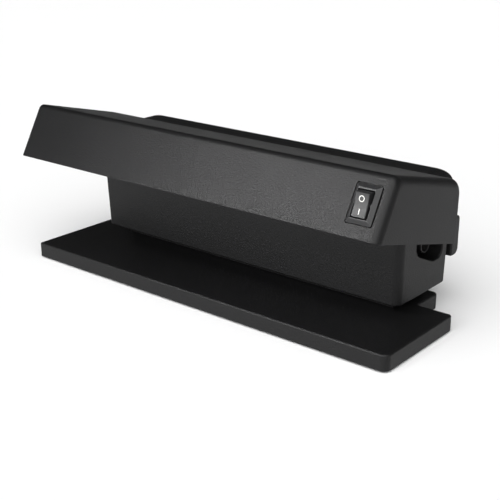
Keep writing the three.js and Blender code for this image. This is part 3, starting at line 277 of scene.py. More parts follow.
# Rings in order with four-sided faces between neighbours, and a flat face at each end
def loft(rings):
    rings = np.asarray(rings, float)
    count, size = rings.shape[:2]
    index = np.arange(count * size).reshape(count, size)
    ahead = np.roll(index, -1, 1)
    quads = np.stack([index[:-1], ahead[:-1], ahead[1:], index[1:]], -1).reshape(-1, 4)
    faces = quads.tolist() + [index[0, ::-1].tolist(), index[-1].tolist()]
    return rings.reshape(-1, 3), faces


# A flat outline lifted into space: the plane's two axes and the level along the third
def inPlane(outline, level, plane="xy"):
    flat = np.broadcast_to(np.asarray(level, float), len(outline))
    first, second = outline[:, 0], outline[:, 1]
    columns = {"xy": (first, second, flat), "yz": (flat, first, second), "zx": (second, flat, first)}
    return np.stack(columns[plane], 1)


# An outline carried straight from one level to another
def prism(outline, start, end, plane="xy"):
    return loft([inPlane(outline, start, plane), inPlane(outline, end, plane)])


# A closed profile of (radius, height) pairs turned about its axis
def turned(profile, sides):
    profile = np.asarray(profile, float)
    ring = np.concatenate([disc(1, (0, 0), sides), np.zeros((sides, 1))], 1)
    return loft(ring[None] * profile[:, :1, None] + np.array([0, 0, 1.0]) * profile[:, 1:, None])


# Every point turned and shifted by a matrix
def movedBy(part, matrix):
    points, faces = part
    matrix = np.array(matrix)
    return points @ matrix[:3, :3].T + matrix[:3, 3], faces


# A shift by X, Y and Z
def at(*place):
    return Matrix.Translation(place)


# A quarter of a full turn about an axis
def quarterTurn(axis):
    return Matrix.Rotation(math.pi / 2, 4, axis)


# Several parts as one: each part's corners count on from the points before it
def together(*parts):
    starts = np.cumsum([0] + [len(points) for points, _ in parts]).tolist()
    groups = [(faces, start) for (_, faces), start in zip(parts, starts)]
    faces = [[corner + start for corner in face] for group, start in groups for face in group]
    return np.concatenate([points for points, _ in parts]), faces


# An object from a part's faces and its points, which go from millimetres to metres
def meshObject(name, part):
    points, faces = part
    mesh = bpy.data.meshes.new(name)
    mesh.from_pydata((points * mm).tolist(), [], faces)
    mesh.validate()
    thing = bpy.data.objects.new(name, mesh)
    bpy.context.scene.collection.objects.link(thing)
    return thing


# The modifiers' result becomes the object's own mesh
def settle(thing):
    bpy.context.view_layer.update()
    graph = bpy.context.evaluated_depsgraph_get()
    mesh = bpy.data.meshes.new_from_object(thing.evaluated_get(graph))
    thing.modifiers.clear()
    thing.data = mesh


# One solid cut from another or joined to it, then slivers along the seam are closed up
def combine(thing, part, operation="DIFFERENCE"):
    other = meshObject("cutter", part) if isinstance(part, tuple) else part
    modifier = thing.modifiers.new("combine", "BOOLEAN")
    modifier.operation = operation
    modifier.solver = "EXACT"
    modifier.object = other
    settle(thing)
    bpy.data.objects.remove(other)
    seams = bmesh.new()
    seams.from_mesh(thing.data)
    bmesh.ops.remove_doubles(seams, verts=seams.verts, dist=sliver * mm)
    bmesh.ops.dissolve_degenerate(seams, edges=seams.edges, dist=sliver * mm)
    seams.to_mesh(thing.data)
    seams.free()


# A piece takes its finish, its body, the node it stands for, and soft shading
def dress(thing, slot, body, nodes=(), sharp=32, edge=0.0):
    thing.data.materials.clear()
    thing.data.materials.append(finishes[slot])
    for polygon in thing.data.polygons:
        polygon.use_smooth = True
    thing.data.set_sharp_from_angle(angle=math.radians(sharp))
    if edge:
        bevel = thing.modifiers.new("edges", "BEVEL")
        bevel.width = edge * mm
        bevel.segments = 2
        bevel.limit_method = "ANGLE"
        bevel.angle_limit = math.radians(sharp)
        bevel.harden_normals = True
    else:
        weighted = thing.modifiers.new("shading", "WEIGHTED_NORMAL")
        weighted.keep_sharp = True
    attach(thing, body)
    if nodes:
        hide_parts(*nodes)


plate = {
    "half": 138.5, "front": -50.03, "rear": 19.73, "leftCorner": 1.2, "rightCorner": 4.6, "rearCorner": 2,
    "tongueHalf": 116, "tongueRear": 43.73, "tongueCorner": 3, "innerCorner": 1.5, "leastCorner": 0.2,
    "bottom": 1, "top": 10.75, "wall": 2.4, "edge": 1.2, "footEdge": 0.3,
}
pedestal = {"half": 107.4, "front": 6.8, "rear": 40.2, "top": 15.85, "corner": 1, "sink": 1}


# The plate and its tongue in one outline, set in by a distance; the two inner corners widen as it shrinks
def plateOutline(margin):
    p = plate
    half, tongue = p["half"], p["tongueHalf"]
    corners = [
        (-half, p["front"]), (half, p["front"]), (half, p["rear"]), (tongue, p["rear"]),
        (tongue, p["tongueRear"]), (-tongue, p["tongueRear"]), (-tongue, p["rear"]), (-half, p["rear"]),
    ]
    radii = np.array([
        p["leftCorner"], p["rightCorner"], p["rearCorner"], -p["innerCorner"],
        p["tongueCorner"], p["tongueCorner"], -p["innerCorner"], p["rearCorner"],
    ])
    return insetOutline(corners, margin, np.maximum(np.abs(radii - margin), p["leastCorner"]))


# An upturned tray: up the inside of its wall, round its foot, up the outside and over its soft top edge
def makePlate():
    p, d = plate, pedestal
    path = [(p["wall"], p["top"] - p["wall"]), (p["wall"], p["bottom"])]
    path += roundedRun(p["bottom"], p["top"], (p["footEdge"], p["edge"]), (2, 5))
    tray = meshObject("base_plate_dressed", loft([inPlane(plateOutline(inset), z) for inset, z in path]))
    outline = roundedOutline(rectangle(-d["half"], d["half"], d["front"], d["rear"]), d["corner"])
    combine(tray, prism(outline, p["top"] - d["sink"], d["top"]), "UNION")
    dress(tray, "black_plastic", "housing", ["base_plate"])


housing = {
    "foot": 16.15, "top": 87.45, "halfLow": 116.6, "halfHigh": 118.6,
    "front": -4.325, "lean": 2.6, "rear": 47.975,
    "leftCorner": 1.5, "rightCorner": 5, "rearCorner": 1.2, "footRadius": 1.5, "topRadius": 8.25, "wall": 2.4,
    "cornerGain": 0.5,  # what a corner's radius gains for each millimetre that the ring is set in
    "sideEnd": 130, "rearEnd": 60,  # where the cuts through the side and the rear end
}
pocket = {
    "front": 11.875, "rear": 42.375, "low": 34.55, "high": 56.05, "depth": 12,
    "slopeY": 31.9, "slopeZ": 43.25,
    "radii": (8, 8, 5, 4, 4), "wall": 2.2, "mouthEdge": 0.9, "mouthReach": 3,
}
rearCover = {
    "half": 84, "low": 27.15, "high": 77.15, "corner": 5, "leastCorner": 1, "thickness": 2.4, "ledge": 6,
    "through": 3, "edge": 0.5, "cutFront": 40, "cutRear": 60, "screwInset": 7, "screwHole": 1.8,
    "ventX": 42, "ventLength": 16, "ventWidth": 2, "ventPitch": 6, "ventCount": 9,
}


# How far up the housing a height lies, from 0 at its foot to 1 at its top
def housingShare(z):
    return (z - housing["foot"]) / (housing["top"] - housing["foot"])


# Half the housing's length at a height
def housingHalf(z):
    return housing["halfLow"] + (housing["halfHigh"] - housing["halfLow"]) * housingShare(z)


# One level of the housing: a rounded rectangle whose ends and front lean out towards the top
def housingRing(z, margin, soften=0.0):
    h = housing
    half, front = housingHalf(z), h["front"] - h["lean"] * housingShare(z)
    radii = np.array([h["leftCorner"], h["rightCorner"], h["rearCorner"], h["rearCorner"]]) + soften
    return inPlane(insetOutline(rectangle(-half, half, front, h["rear"]), margin, radii, 8), z)


# The housing's outside, grown by a distance: foot rounding, wall, shoulders
def housingBody(grow=0.0):
    h = housing
    path = roundedRun(h["foot"] - grow, h["top"] + grow, (h["footRadius"], h["topRadius"]), (6, 10))
    return loft([housingRing(z, inset - grow, grow + inset * h["cornerGain"]) for inset, z in path])


# The pocket's outline in Y and Z, grown by a distance; its lower edge rises towards the front
def pocketOutline(grow=0.0):
    k = pocket
    low = [(k["front"], k["slopeZ"]), (k["slopeY"], k["low"]), (k["rear"], k["low"])]
    corners = low + [(k["rear"], k["high"]), (k["front"], k["high"])]
    return insetOutline(corners, -grow, np.array(k["radii"]) + grow, 8)


# The X of the pocket's floor: the side's X at the inlet's height, less the pocket's depth
def pocketFloor():
    return housingHalf(inlet["z"]) - pocket["depth"]


# The rear cover's rounded rectangle in Z and X, grown by a distance
def coverOutline(grow=0.0):
    c = rearCover
    corners = rectangle(c["low"] - grow, c["high"] + grow, -c["half"] - grow, c["half"] + grow)
    return roundedOutline(corners, max(c["corner"] + grow, c["leastCorner"]), 8)


# The side's X at a height, less a depth
def belowSide(outline, depth):
    x = housingHalf(outline[:, 1]) - depth
    return np.stack([x, outline[:, 0], outline[:, 1]], 1)


# The inlet's outline in Y and Z: two half circles joined by straight sides
def stadium(width, height):
    return roundedOutline(centred(width, height) + (inlet["y"], inlet["z"]), width / 2 - hair, 12)


# The outside less a hollow that leaves a wall, less the pocket with its round mouth, the inlet's hole,
# the rear opening and the cover's seat
def makeHousing():
    h, k, c, n = housing, pocket, rearCover, inlet
    body = meshObject("housing_dressed", housingBody())
    inside = [housingRing(z, h["wall"]) for z in (h["foot"] + h["wall"], h["top"] - h["wall"])]
    hollow = meshObject("housing_hollow", loft(inside))
    floorX = pocketFloor()
    seat = h["rear"] - c["thickness"] - seatGap
    combine(hollow, prism(pocketOutline(k["wall"]), floorX - k["wall"], h["sideEnd"], "yz"))
    combine(hollow, prism(coverOutline(c["ledge"]), seat - h["wall"], h["rearEnd"], "zx"))
    combine(body, hollow)
    steps = [(grow, k["mouthEdge"] - rise) for grow, rise in quarterRound(k["mouthEdge"], 5)]
    steps.append((k["mouthEdge"], -k["mouthReach"]))
    rings = [belowSide(pocketOutline(grow), depth) for grow, depth in steps]
    combine(body, loft([inPlane(pocketOutline(), floorX, "yz")] + rings))
    hole = stadium(n["width"] + 2 * seatGap, n["height"] + 2 * seatGap)
    combine(body, prism(hole, floorX - n["holeBehind"], floorX + n["holeAhead"], "yz"))
    combine(body, prism(coverOutline(-c["ledge"]), seat - h["wall"] - c["through"], h["rearEnd"], "zx"))
    combine(body, prism(coverOutline(seatGap), seat, h["rearEnd"], "zx"))
    dress(body, "black_plastic", "housing", ["housing_shell"])


hood = {
    "half": 136, "lip": (-61.075, 74.5), "brow": (-43.34, 105.58),
    "nape": (23.2, 88.87), "tail": (22.2, 52.2),
    "lipRadius": 0.5, "browRadius": 3.8, "napeRadius": 5, "leftEdge": 1.3, "rightEdge": 5, "leastEdge": 0.4,
    "rearShare": 0.3, "browGain": 0.3,  # for each millimetre of an end's inset
    "wall": 2.4, "openBelow": 6,
}


# The hood's section in Y and Z: the face and the top move in by a distance, the rear by its share
def hoodSection(margin, inset, below):
    g = hood
    corners = [g["lip"], g["tail"], g["nape"], g["brow"]]
    distances = [-below, margin + inset * g["rearShare"], margin + inset, margin + inset]
    radii = [g["lipRadius"], g["lipRadius"], g["napeRadius"], g["browRadius"] + inset * g["browGain"]]
    return insetOutline(corners, distances, radii, 8)


# The section carried along X; at each end it shrinks round a quarter circle
def hoodBody(margin=0.0, below=0.0):
    g = hood
    half = g["half"] - margin
    radii = [max(g[end] - margin, g["leastEdge"]) for end in ("leftEdge", "rightEdge")]
    path = roundedRun(-half, half, radii, (10, 10))
    return loft([inPlane(hoodSection(margin, inset, below), x, "yz") for inset, x in path])


switch = {
    "x": 122.1, "y": -52.06, "z": 90.37, "up": (0, 0.4939, 0.8695), "out": (0, -0.8695, 0.4939),
    "width": 15, "height": 21, "corner": 0.7, "cornerLoss": 0.2, "low": -1.2, "rise": 0.45, "high": 2.0,
    "bevel": 2.2, "rim": 0.2, "rimDrop": 0.1, "gap": 0.7, "seatBelow": 0.1,
    "bodyWidth": 13, "bodyHeight": 19.2, "bodyDepth": 14, "bodyCorner": 0.6, "bodyOverlap": 0.6,
    "holeCorner": 0.4, "holeLow": -8, "cutHigh": 4,
    "windowWidth": 10.2, "windowTop": 7.4, "windowFoot": -7.95, "windowCorner": 0.6, "windowDepth": 8,
    "windowEdge": 0.15, "windowAbove": 2,
}


# The face's frame: X along the hood, Y up the slope, Z outwards; lifted, then tilted about X
def switchFrame(lift=0.0, tilt=0.0):
    s = switch
    axes = Matrix([(1, 0, 0), s["up"], s["out"]]).transposed().to_4x4()
    return at(s["x"], s["y"], s["z"]) @ axes @ at(0, 0, lift) @ Matrix.Rotation(math.radians(tilt), 4, "X")


# The outside less its inside, which is open below, less the housing, the switch's hole and its seat
def makeHood():
    g, s = hood, switch
    shell = meshObject("hood_dressed", hoodBody())
    combine(shell, hoodBody(g["wall"], g["openBelow"]))
    combine(shell, housingBody(seatGap))
    hole = centred(s["bodyWidth"] + 2 * seatGap, s["bodyHeight"] + 2 * seatGap)
    hole = prism(roundedOutline(hole, s["holeCorner"]), s["holeLow"], s["cutHigh"])
    seat = centred(s["width"] + 2 * s["gap"], s["height"] + 2 * s["gap"])
    seat = prism(roundedOutline(seat, s["corner"] + s["gap"]), s["low"] - s["seatBelow"], s["cutHigh"])
    for cut in (hole, seat):
        combine(shell, movedBy(cut, switchFrame()))
    dress(shell, "black_plastic", "housing", ["hood_shell"])


# A bezel with sloping sides round a window, and the box that goes through the hood
def makeSwitchBody():
    s = switch
    size, corner, loss = centred(s["width"], s["height"]), s["corner"], s["cornerLoss"]
    high, edge = s["high"], s["windowEdge"]
    steps = [(0, s["low"]), (0, s["rise"]), (s["bevel"] - s["rim"], high - s["rimDrop"]), (s["bevel"], high)]
    rings = [inPlane(insetOutline(size, inset, corner - inset * loss), z) for inset, z in steps]
    bezel = meshObject("switch_frame_dressed", movedBy(loft(rings), switchFrame()))
    body = roundedOutline(centred(s["bodyWidth"], s["bodyHeight"]), s["bodyCorner"])
    body = prism(body, -s["bodyDepth"], s["low"] + s["bodyOverlap"])
    combine(bezel, movedBy(body, switchFrame()), "UNION")
    window = rectangle(-s["windowWidth"] / 2, s["windowWidth"] / 2, s["windowFoot"], s["windowTop"])
    steps = [(0, high - s["windowDepth"])]
    steps += [(-inset, high - edge + rise) for inset, rise in quarterRound(edge, 3)]
    steps.append((-edge, high + s["windowAbove"]))
    rings = [inPlane(insetOutline(window, inset, s["windowCorner"] - inset), z) for inset, z in steps]
    combine(bezel, movedBy(loft(rings), switchFrame()))
    dress(bezel, "switch_plastic", "housing", ["switch_body"])


rocker = {
    "width": 8.2, "upper": 7.2, "lower": 7.8, "crown": 4.3, "valley": 3.6, "keel": 2.0, "core": 0.4,
    "rounding": 0.5, "pivotDepth": 2.2, "tilt": 11,
}


# The rocker's frame: its pivot lies that deep under the bezel's front, and it is tilted about X
def rockerFrame():
    return switchFrame(switch["high"] - rocker["pivotDepth"], rocker["tilt"])


# How far an end's crown lies from the middle: it sits on that end's arc about the pivot
def rockerReach(end):
    return math.sqrt(rocker[end] ** 2 - rocker["crown"] ** 2)


# The hollow face's height above the pivot: the valley, plus the rise times distance over reach, squared
def rockerFace(y):
    reach = np.where(y > 0, rockerReach("upper"), rockerReach("lower"))
    return rocker["valley"] + (rocker["crown"] - rocker["valley"]) * (y / reach) ** 2


# The rocker's side view: a shallow valley between two crowns, then each end's own arc down to the keel
def rockerSection(margin):
    r = rocker
    arcs = []
    for end in ("upper", "lower"):
        angle = np.linspace(-math.asin(r["keel"] / r[end]), math.asin(r["crown"] / r[end]), 9)
        arcs.append(np.stack([np.cos(angle), np.sin(angle)], 1) * r[end])
    y = np.linspace(rockerReach("upper"), -rockerReach("lower"), 17)[1:-1]
    outline = np.concatenate([arcs[0], np.stack([y, rockerFace(y)], 1), arcs[1][::-1] * (-1, 1)])
    core = np.array([0, r["core"]])
    return core + (outline - core) * (1 - margin / np.linalg.norm(outline - core, axis=1, keepdims=True))


# The side view carried across the rocker's width, drawn in towards its core round both ends
def makeRocker():
    r = rocker
    path = roundedRun(-r["width"] / 2, r["width"] / 2, (r["rounding"], r["rounding"]), (4, 4))
    rings = [inPlane(rockerSection(inset), x, "yz") for inset, x in path]
    body = meshObject("rocker_dressed", movedBy(loft(rings), rockerFrame()))
    dress(body, "switch_plastic", "rocker", ["switch_rocker"], sharp=50)


marks = {
    "ringY": 2.8, "outer": 1.6, "inner": 1.25, "barY": -3.9, "barWidth": 0.42, "barHeight": 2.9,
    "barCorner": 0.12, "proud": 0.14, "root": 0.2, "edge": 0.05, "slant": 0.06,
}


# A mark follows the rocker's face: its outline, at the face's height plus its own
def onFace(outline, height):
    return np.stack([outline[:, 0], outline[:, 1], rockerFace(outline[:, 1]) + height], 1)


# The ring goes up its outside, over its top and down its inside; the bar rises to a smaller top
def makeMarks():
    m = marks
    root, shoulder, top = -m["root"], m["proud"] - m["edge"], m["proud"]
    outer, inner = [disc(m[radius], (0, m["ringY"])) for radius in ("outer", "inner")]
    slant = (inner - outer) * m["slant"]
    levels = [(outer, root), (outer, shoulder), (outer + slant, top)]
    levels += [(inner - slant, top), (inner, shoulder), (inner, root), (outer, root)]
    points, faces = loft([onFace(outline, height) for outline, height in levels])
    ring = meshObject("mark_ring", movedBy((points, faces[:-2]), rockerFrame()))
    size = centred(m["barWidth"], m["barHeight"]) + (0, m["barY"])
    steps = [(0, root), (0, shoulder), (m["edge"], top)]
    rings = [onFace(insetOutline(size, inset, m["barCorner"]), height) for inset, height in steps]
    bar = meshObject("mark_bar", movedBy(loft(rings), rockerFrame()))
    for mark in (ring, bar):
        dress(mark, "white_plastic", "rocker")


post = {
    "near": 92.9, "far": 117.9, "front": 52.575, "rear": 61.075, "low": 31.2, "high": 55.55, "edge": 1.2,
    "radii": (1.6, 3.6, 1.8, 1.6), "stemWidth": 13, "stemHeight": 11, "stemCorner": 1.8, "stemFront": 48.275,
    "stemSink": 2,
}


# A hook for the cord: a plate with rounded rear edges on a stem
def makePost(name, side):
    p = post
    corners = rectangle(p["front"], p["rear"], p["low"], p["high"])
    path = roundedRun(p["near"], p["far"], (p["edge"], p["edge"]), (5, 5))
    rings = [inPlane(insetOutline(corners, inset, p["radii"], 8), x, "yz") for inset, x in path]
    hook = meshObject(name + "_dressed", loft(rings))
    stem = centred(p["stemHeight"], p["stemWidth"]) + ((p["low"] + p["high"]) / 2, (p["near"] + p["far"]) / 2)
    stem = prism(roundedOutline(stem, p["stemCorner"]), p["stemFront"], p["front"] + p["stemSink"], "zx")
    combine(hook, stem, "UNION")
    if side < 0:
        hook.data.transform(Matrix.Scale(-1, 4, (1, 0, 0)))
        hook.data.flip_normals()
    dress(hook, "black_plastic", "housing", [name])


inlet = {
    "y": 33.075, "z": 46.35, "width": 10.6, "height": 17, "boreWidth": 8.2, "boreHeight": 14.8,
    "proud": 5.6, "behind": 9, "backWall": 3, "holeBehind": 6, "holeAhead": 2,
    "outerRim": [(0, 0.45), (0.25, 0.12), (0.8, 0)],  # taken off both widths, and depth under the mouth
    "innerRim": [(0.7, 0), (0.2, 0.15), (0, 0.5)],  # added to both bores, and depth
    "pin": 1.2, "pitch": 8.6, "tail": 5, "recess": 3,
    "pinTip": [(1.2, 0.9), (0.96, 0.3), (0.4, 0), (pole / 2, 0)],  # radius, and depth under the tip
}


# The figure-8 socket: up its outside, round the rim, and down to the floor that holds the pins
def makeInlet():
    n = inlet
    mouth, back = pocketFloor() + n["proud"], pocketFloor() - n["behind"]
    wide, tall, bore, rise = n["width"], n["height"], n["boreWidth"], n["boreHeight"]
    path = [(wide, tall, back)] + [(wide - off, tall - off, mouth - depth) for off, depth in n["outerRim"]]
    path += [(bore + more, rise + more, mouth - depth) for more, depth in n["innerRim"]]
    path.append((bore, rise, back + n["backWall"]))
    socket = meshObject("inlet_dressed", loft([inPlane(stadium(w, t), x, "yz") for w, t, x in path]))
    dress(socket, "switch_plastic", "housing", ["inlet_body"])
    root, tip = back - n["tail"], mouth - n["recess"]
    pin = [(pole / 2, root), (n["pin"], root)] + [(radius, tip - depth) for radius, depth in n["pinTip"]]
    for i, side in enumerate((-1, 1)):
        place = at(0, n["y"], n["z"] + side * n["pitch"] / 2) @ quarterTurn("Y")
        contact = meshObject(f"inlet_pin_{i + 1}_dressed", movedBy(turned(pin, 24), place))
        dress(contact, "brass", "housing", [f"inlet_pin_{i + 1}"])


# Where the cover's screws sit in Z and X
def coverSpots():
    c = rearCover
    heights = (c["low"] + c["screwInset"], c["high"] - c["screwInset"])
    return [(z, side * (c["half"] - c["screwInset"])) for side in (-1, 1) for z in heights]


# A flat plate with a soft outer edge, two columns of slots and a hole for each screw
def makeRearCover():
    h, c = housing, rearCover
    rings = [inPlane(coverOutline(), h["rear"] - c["thickness"], "zx")]
    turn = quarterRound(c["edge"], 3)
    rings += [inPlane(coverOutline(-inset), h["rear"] - c["edge"] + rise, "zx") for inset, rise in turn]
    cover = meshObject("rear_cover_dressed", loft(rings))
    slot = roundedOutline(centred(c["ventWidth"], c["ventLength"]), c["ventWidth"] / 2 - hair)
    middle, count = (c["low"] + c["high"]) / 2, c["ventCount"]
    rows = [middle + c["ventPitch"] * (i - count // 2) for i in range(count)]
    slots = [slot + (z, side * c["ventX"]) for side in (-1, 1) for z in rows]
    holes = [disc(c["screwHole"], spot, 24) for spot in coverSpots()]
    for cuts in (slots, holes):
        combine(cover, together(*[prism(outline, c["cutFront"], c["cutRear"], "zx") for outline in cuts]))
    dress(cover, "black_plastic", "housing", ["rear_cover"])


screw = {
    "head": 2.9, "dome": 1.8, "shank": 1.5, "long": 8, "short": 6.2, "pitch": 0.45, "groove": 0.22,
    "start": 0.3, "point": 1.2, "tip": 0.3, "cross": 0.62, "reach": 1.9, "crossPast": 0.4, "depth": 1.1,
    "crown": 0.03, "flat": 0.75, "steep": 0.8,  # the dome's first angle and its two exponents
}


# A domed head under z = 0 with a cross recess, and above it a shank whose radius zigzags as a thread
def makeScrew(name, place, length):
    w = screw
    angle = np.linspace(w["crown"], math.pi / 2, 9)
    dome = np.stack([w["head"] * np.sin(angle) ** w["flat"], -w["dome"] * np.cos(angle) ** w["steep"]], 1)
    height = np.linspace(w["start"], length - w["point"], int(length / w["pitch"]) * 2)
    thread = np.stack([w["shank"] - w["groove"] * (np.arange(len(height)) % 2), height], 1)
    profile = np.concatenate([dome, [(w["head"], 0), (w["shank"], 0)], thread, [(w["tip"], length)]])
    body = meshObject(name + "_dressed", turned(profile, 32))
    a, b = w["cross"] / 2, w["reach"] / 2 + w["crossPast"]
    cross = [(-a, -b), (a, -b), (a, -a), (b, -a), (b, a), (a, a)]
    cross = np.array(cross + [(-x, -y) for x, y in cross])
    combine(body, prism(cross, -w["dome"] - 1, w["depth"] - w["dome"]))
    body.data.transform(Matrix.Scale(mm, 4) @ place @ Matrix.Scale(1 / mm, 4))
    dress(body, "steel", "housing", [name])


deck = {"y": -61.075, "z": 74.5, "slope": 15, "screwX": 126.1, "screwReach": 70, "screwSeat": 2.0}


# The lamp deck's frame: Y runs back along the hood's lower edge
def deckFrame():
    return at(0, deck["y"], deck["z"]) @ Matrix.Rotation(-math.radians(deck["slope"]), 4, "X")


# The rear cover's screws go in forwards, the tray's and the base cover's upwards
def makeScrews():
    for i, (z, x) in enumerate(coverSpots()):
        place = at(x, housing["rear"] + seatGap, z) @ quarterTurn("X")
        makeScrew(f"rear_cover_screw_{i + 1}", place, screw["long"])
    for i, side in enumerate((-1, 1)):
        place = deckFrame() @ at(side * deck["screwX"], deck["screwReach"], deck["screwSeat"])
        makeScrew(f"tray_screw_{i + 1}", place, screw["long"])
    for i, (x, y) in enumerate(underside["screws"]):
        makeScrew(f"base_cover_screw_{i + 1}", at(x, y, underside["screwSeat"]), screw["short"])


underside = {
    "margin": 2.7, "low": 1, "high": 3.4, "edge": 0.4, "sink": 2.2, "screwSeat": 2.4,
    "cutLow": -2, "holeLow": 2, "holeHigh": 5,
    "feet": [(-123.5, -35.0), (123.5, -35.0), (-101, 28.7), (101, 28.7)],
    "screws": [(-104.5, -38), (-104.5, 7.7), (104.5, -38), (104.5, 7.7)],
}
foot = {"radius": 6.5, "high": 1.9, "edge": 0.7, "dimple": 0.25, "dimpleRadius": 3.2, "dimpleEdge": 3.8}


# The closing plate under the base, with recesses for the feet and the screw heads, and the dimpled feet
def makeUnderside():
    u, f = underside, foot
    turn = quarterRound(u["edge"], 3)[::-1]
    rings = [inPlane(plateOutline(u["margin"] + inset), u["low"] + u["edge"] - rise) for inset, rise in turn]
    rings.append(inPlane(plateOutline(u["margin"]), u["high"]))
    cover = meshObject("base_cover_dressed", loft(rings))
    cuts = [
        (u["feet"], f["radius"], 48, u["cutLow"], u["sink"]),
        (u["screws"], screw["head"], 48, u["cutLow"], u["screwSeat"] + seatGap),
        (u["screws"], screw["shank"], 24, u["holeLow"], u["holeHigh"]),
    ]
    for spots, radius, sides, low, high in cuts:
        combine(cover, together(*[prism(disc(radius + seatGap, spot, sides), low, high) for spot in spots]))
    dress(cover, "black_plastic", "housing", ["base_cover"])
    profile = [(pole, f["dimple"]), (f["dimpleRadius"], f["dimple"]), (f["dimpleEdge"], 0)]
    profile += [(f["radius"] - inset, f["edge"] - rise) for inset, rise in quarterRound(f["edge"], 5)[::-1]]
    profile += [(f["radius"], f["high"]), (pole, f["high"])]
    for i, (x, y) in enumerate(u["feet"]):
        pad = meshObject(f"base_foot_{i + 1}_dressed", movedBy(turned(profile, 64), at(x, y, 0)))
        dress(pad, "rubber", "housing", [f"base_foot_{i + 1}"])


lamp = {
    "x": -10, "reach": 32, "rise": 14.1, "half": 106, "glass": 7.75, "glassInset": 0.8, "glassEdge": 0.4,
    "cap": 8, "capLength": 9,
    "capNear": [(0.9, 0), (0.25, 0.1), (0, 0.4)],  # taken off its radius, and distance from its near end
    "capFar": [(0, 1), (0.35, 0.3), (1, 0)],  # the same from its far end
    "button": 2.6, "buttonEdge": 0.2, "pin": 1.2, "pinPitch": 5, "pinLength": 7, "pinRoot": 0.6,
    "pinTip": [(1.2, 0.7), (0.84, 0.2), (pole, 0)],  # radius, and distance from the tip
}


# The lamp's own frame: Z along the tube towards the switch
def lampFrame():
    return deckFrame() @ at(lamp["x"], lamp["reach"], lamp["rise"]) @ quarterTurn("Y")


# The glass turned about the tube's axis; each cap turned likewise, with two pins in its face
def makeLamp():
    t = lamp
    end = t["half"] - t["capLength"] - seatGap
    full, slim, inner = t["glass"], t["glass"] - t["glassInset"], end - t["glassEdge"]
    tube = turned([(slim, -end), (full, -inner), (full, inner), (slim, end)], 96)
    glassTube = meshObject("uv_tube_dressed", movedBy(tube, lampFrame()))
    dress(glassTube, "violet_glass", "lamp", ["uv_tube"])
    near, far = t["half"] - t["capLength"], t["half"]
    face, root, tip = far - t["buttonEdge"], far - t["pinRoot"], far + t["pinLength"]
    collar = [(t["cap"] - off, near + run) for off, run in t["capNear"]]
    collar += [(t["cap"] - off, far - run) for off, run in t["capFar"]]
    collar += [(t["button"], far), (t["button"] - t["buttonEdge"], face), (pole, face)]
    pin = [(pole, root), (t["pin"], root)] + [(radius, tip - run) for radius, run in t["pinTip"]]
    pins = [movedBy(turned(pin, 20), at(0, side * t["pinPitch"] / 2, 0)) for side in (-1, 1)]
    for name, angle in (("tube_cap_left", math.pi), ("tube_cap_right", 0)):
        place = lampFrame() @ Matrix.Rotation(angle, 4, "Y")
        cap = meshObject(name + "_dressed", movedBy(together(turned(collar, 72), *pins), place))
        dress(cap, "aluminium", "lamp", [name])


holder = {
    "length": 11, "width": 20, "low": 2.3, "high": 26.3, "corner": 1.2, "edge": 0.4,
    "pocket": 4.1, "pocketDepth": 7.8, "pocketPast": 1, "slot": 3,
}


# A moulded block with a round pocket for the pins and the slot that they enter by
def makeHolders():
    t, b = lamp, holder
    for name, side in (("lamp_holder_left", -1), ("lamp_holder_right", 1)):
        near = t["x"] + side * (t["half"] + seatGap)
        left, right = sorted((near, near + side * b["length"]))
        outline = rectangle(left, right, t["reach"] - b["width"] / 2, t["reach"] + b["width"] / 2)
        block = prism(roundedOutline(outline, b["corner"]), b["low"], b["high"])
        block = meshObject(name + "_dressed", movedBy(block, deckFrame()))
        bottom = min(near - side * b["pocketPast"], near + side * b["pocketDepth"])
        ring = disc(b["pocket"], (t["reach"], t["rise"]))
        slit = rectangle(t["reach"] - b["slot"] / 2, t["reach"] + b["slot"] / 2, 0, t["rise"])
        for cut in (ring, slit):
            cut = prism(cut, bottom, bottom + b["pocketDepth"] + b["pocketPast"], "yz")
            combine(block, movedBy(cut, deckFrame()))
        dress(block, "white_plastic", "housing", [name], edge=b["edge"])


makePlate()
makeHousing()
makeHood()
print("shells made")
makeSwitchBody()
makeRocker()
makeMarks()
makePost("cord_post_left", -1)
makePost("cord_post_right", 1)
makeInlet()
makeRearCover()
makeScrews()
makeUnderside()
makeLamp()
makeHolders()
print("fittings made")

for name, node in frame["nodes"].items():
    node.data.materials.clear()
    node.data.materials.append(finishes[slotOf.get(name, "black_plastic")])
print("frame nodes finished", len(frame["nodes"]))

studio = {
    "floor": (0.9, 0.9, 0.9), "floorHalf": 40000,
    "panel": 4.8, "panelFrom": (0.28, -0.66, 0.7), "panelEdge": (0.66, 0.88),
    "horizon": 0.2, "sky": 0.04, "horizonEdge": (0.08, 0.25),
}
# Each light: power, size, spread in degrees, place, the point it looks at, and whether it lights the floor
lights = {
    "key": (0.135, 0.15, 25, (-0.4, -0.68, 0.5), (0.113, -0.05, 0.07), False),
    "low": (5, 0.35, 180, (-0.46, -0.97, 0.2), (0, 0, 0.05), False),
    "back": (2, 1.2, 180, (0.9, 1.8, 1.9), (0, 0, 0.05), True),
}
photoCamera = {
    "lens": 71.58, "sensor": 36, "near": 0.02, "far": 100,
    "place": (0.3773, -0.45325, 0.2399), "towards": (-0.5949, 0.7260, -0.3450),
}


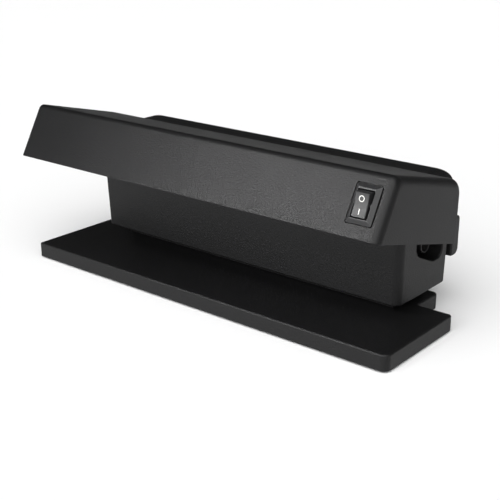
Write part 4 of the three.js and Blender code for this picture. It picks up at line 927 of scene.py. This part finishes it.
# A pale floor, clear when seen from below
def makeFloor():
    half = studio["floorHalf"]
    floor = meshObject("floor", (inPlane(rectangle(-half, half, -half, half), 0), [[0, 1, 2, 3]]))
    finish = Finish("pale_floor", Base_Color=studio["floor"], Roughness=0.9, Specular_IOR_Level=0.1)
    below = finish.node("ShaderNodeNewGeometry", {}, {}, "Backfacing")
    clear = finish.node("ShaderNodeBsdfTransparent", {}, {})
    pale = Link(finish, finish.shader.outputs[0])
    shown = finish.node("ShaderNodeMixShader", {}, {0: below, 1: pale, 2: clear})
    finish.join(finish.output.inputs["Surface"], shown)
    floor.data.materials.append(finish.material)
    return floor


# Square lights turned to the points they look at. Those that leave the floor out don't wash out its shadow.
def makeLights(floor):
    for name, (power, size, spread, place, target, onFloor) in lights.items():
        light = bpy.data.lights.new(name, "AREA")
        light.energy, light.size, light.spread = power, size, math.radians(spread)
        stand = bpy.data.objects.new(name, light)
        stand.location = place
        stand.rotation_euler = (Vector(target) - Vector(place)).to_track_quat("-Z", "Y").to_euler()
        bpy.context.scene.collection.objects.link(stand)
        if not onFloor:
            unlit = bpy.data.collections.new("unlit_by_" + name)
            unlit.objects.link(floor)
            unlit.collection_objects[0].light_linking.link_state = "EXCLUDE"
            stand.light_linking.receiver_collection = unlit


# A dark room with one wide round panel high in front, soft at its edge, and a pale horizon
def makeWorld():
    world = bpy.data.worlds.new("studio")
    bpy.context.scene.world = world
    graph = Graph(world)
    towards = graph.node("ShaderNodeTexCoord", {}, {}, "Generated")
    split = [graph.node("ShaderNodeSeparateXYZ", {}, {0: towards}, axis) for axis in "XYZ"]

    # A smooth step from start to end while the value goes from one edge to the other
    def eased(value, edges, start, end):
        sockets = {"Value": value, "From Min": edges[0], "From Max": edges[1], "To Min": start, "To Max": end}
        return graph.node("ShaderNodeMapRange", {"interpolation_type": "SMOOTHSTEP"}, sockets)

    nearness = sum(part * share for part, share in zip(split, studio["panelFrom"]))
    panel = eased(nearness, studio["panelEdge"], 0.0, studio["panel"])
    band = eased(split[2], studio["horizonEdge"], studio["horizon"], studio["sky"])
    background = graph.node("ShaderNodeBackground", {}, {"Strength": panel + band})
    graph.node("ShaderNodeOutputWorld", {}, {"Surface": background}, None)


# The camera stands at the photo's place and looks the photo's way
def makeCamera():
    c = photoCamera
    data = bpy.data.cameras.new("camera")
    data.lens, data.sensor_width, data.clip_start, data.clip_end = c["lens"], c["sensor"], c["near"], c["far"]
    camera = bpy.data.objects.new("camera", data)
    camera.location = c["place"]
    camera.rotation_euler = Vector(c["towards"]).to_track_quat("-Z", "Y").to_euler()
    bpy.context.scene.collection.objects.link(camera)
    bpy.context.scene.camera = camera


floor = makeFloor()
makeWorld()
makeLights(floor)
makeCamera()
bpy.context.scene.view_settings.view_transform = "Standard"
print("studio made")
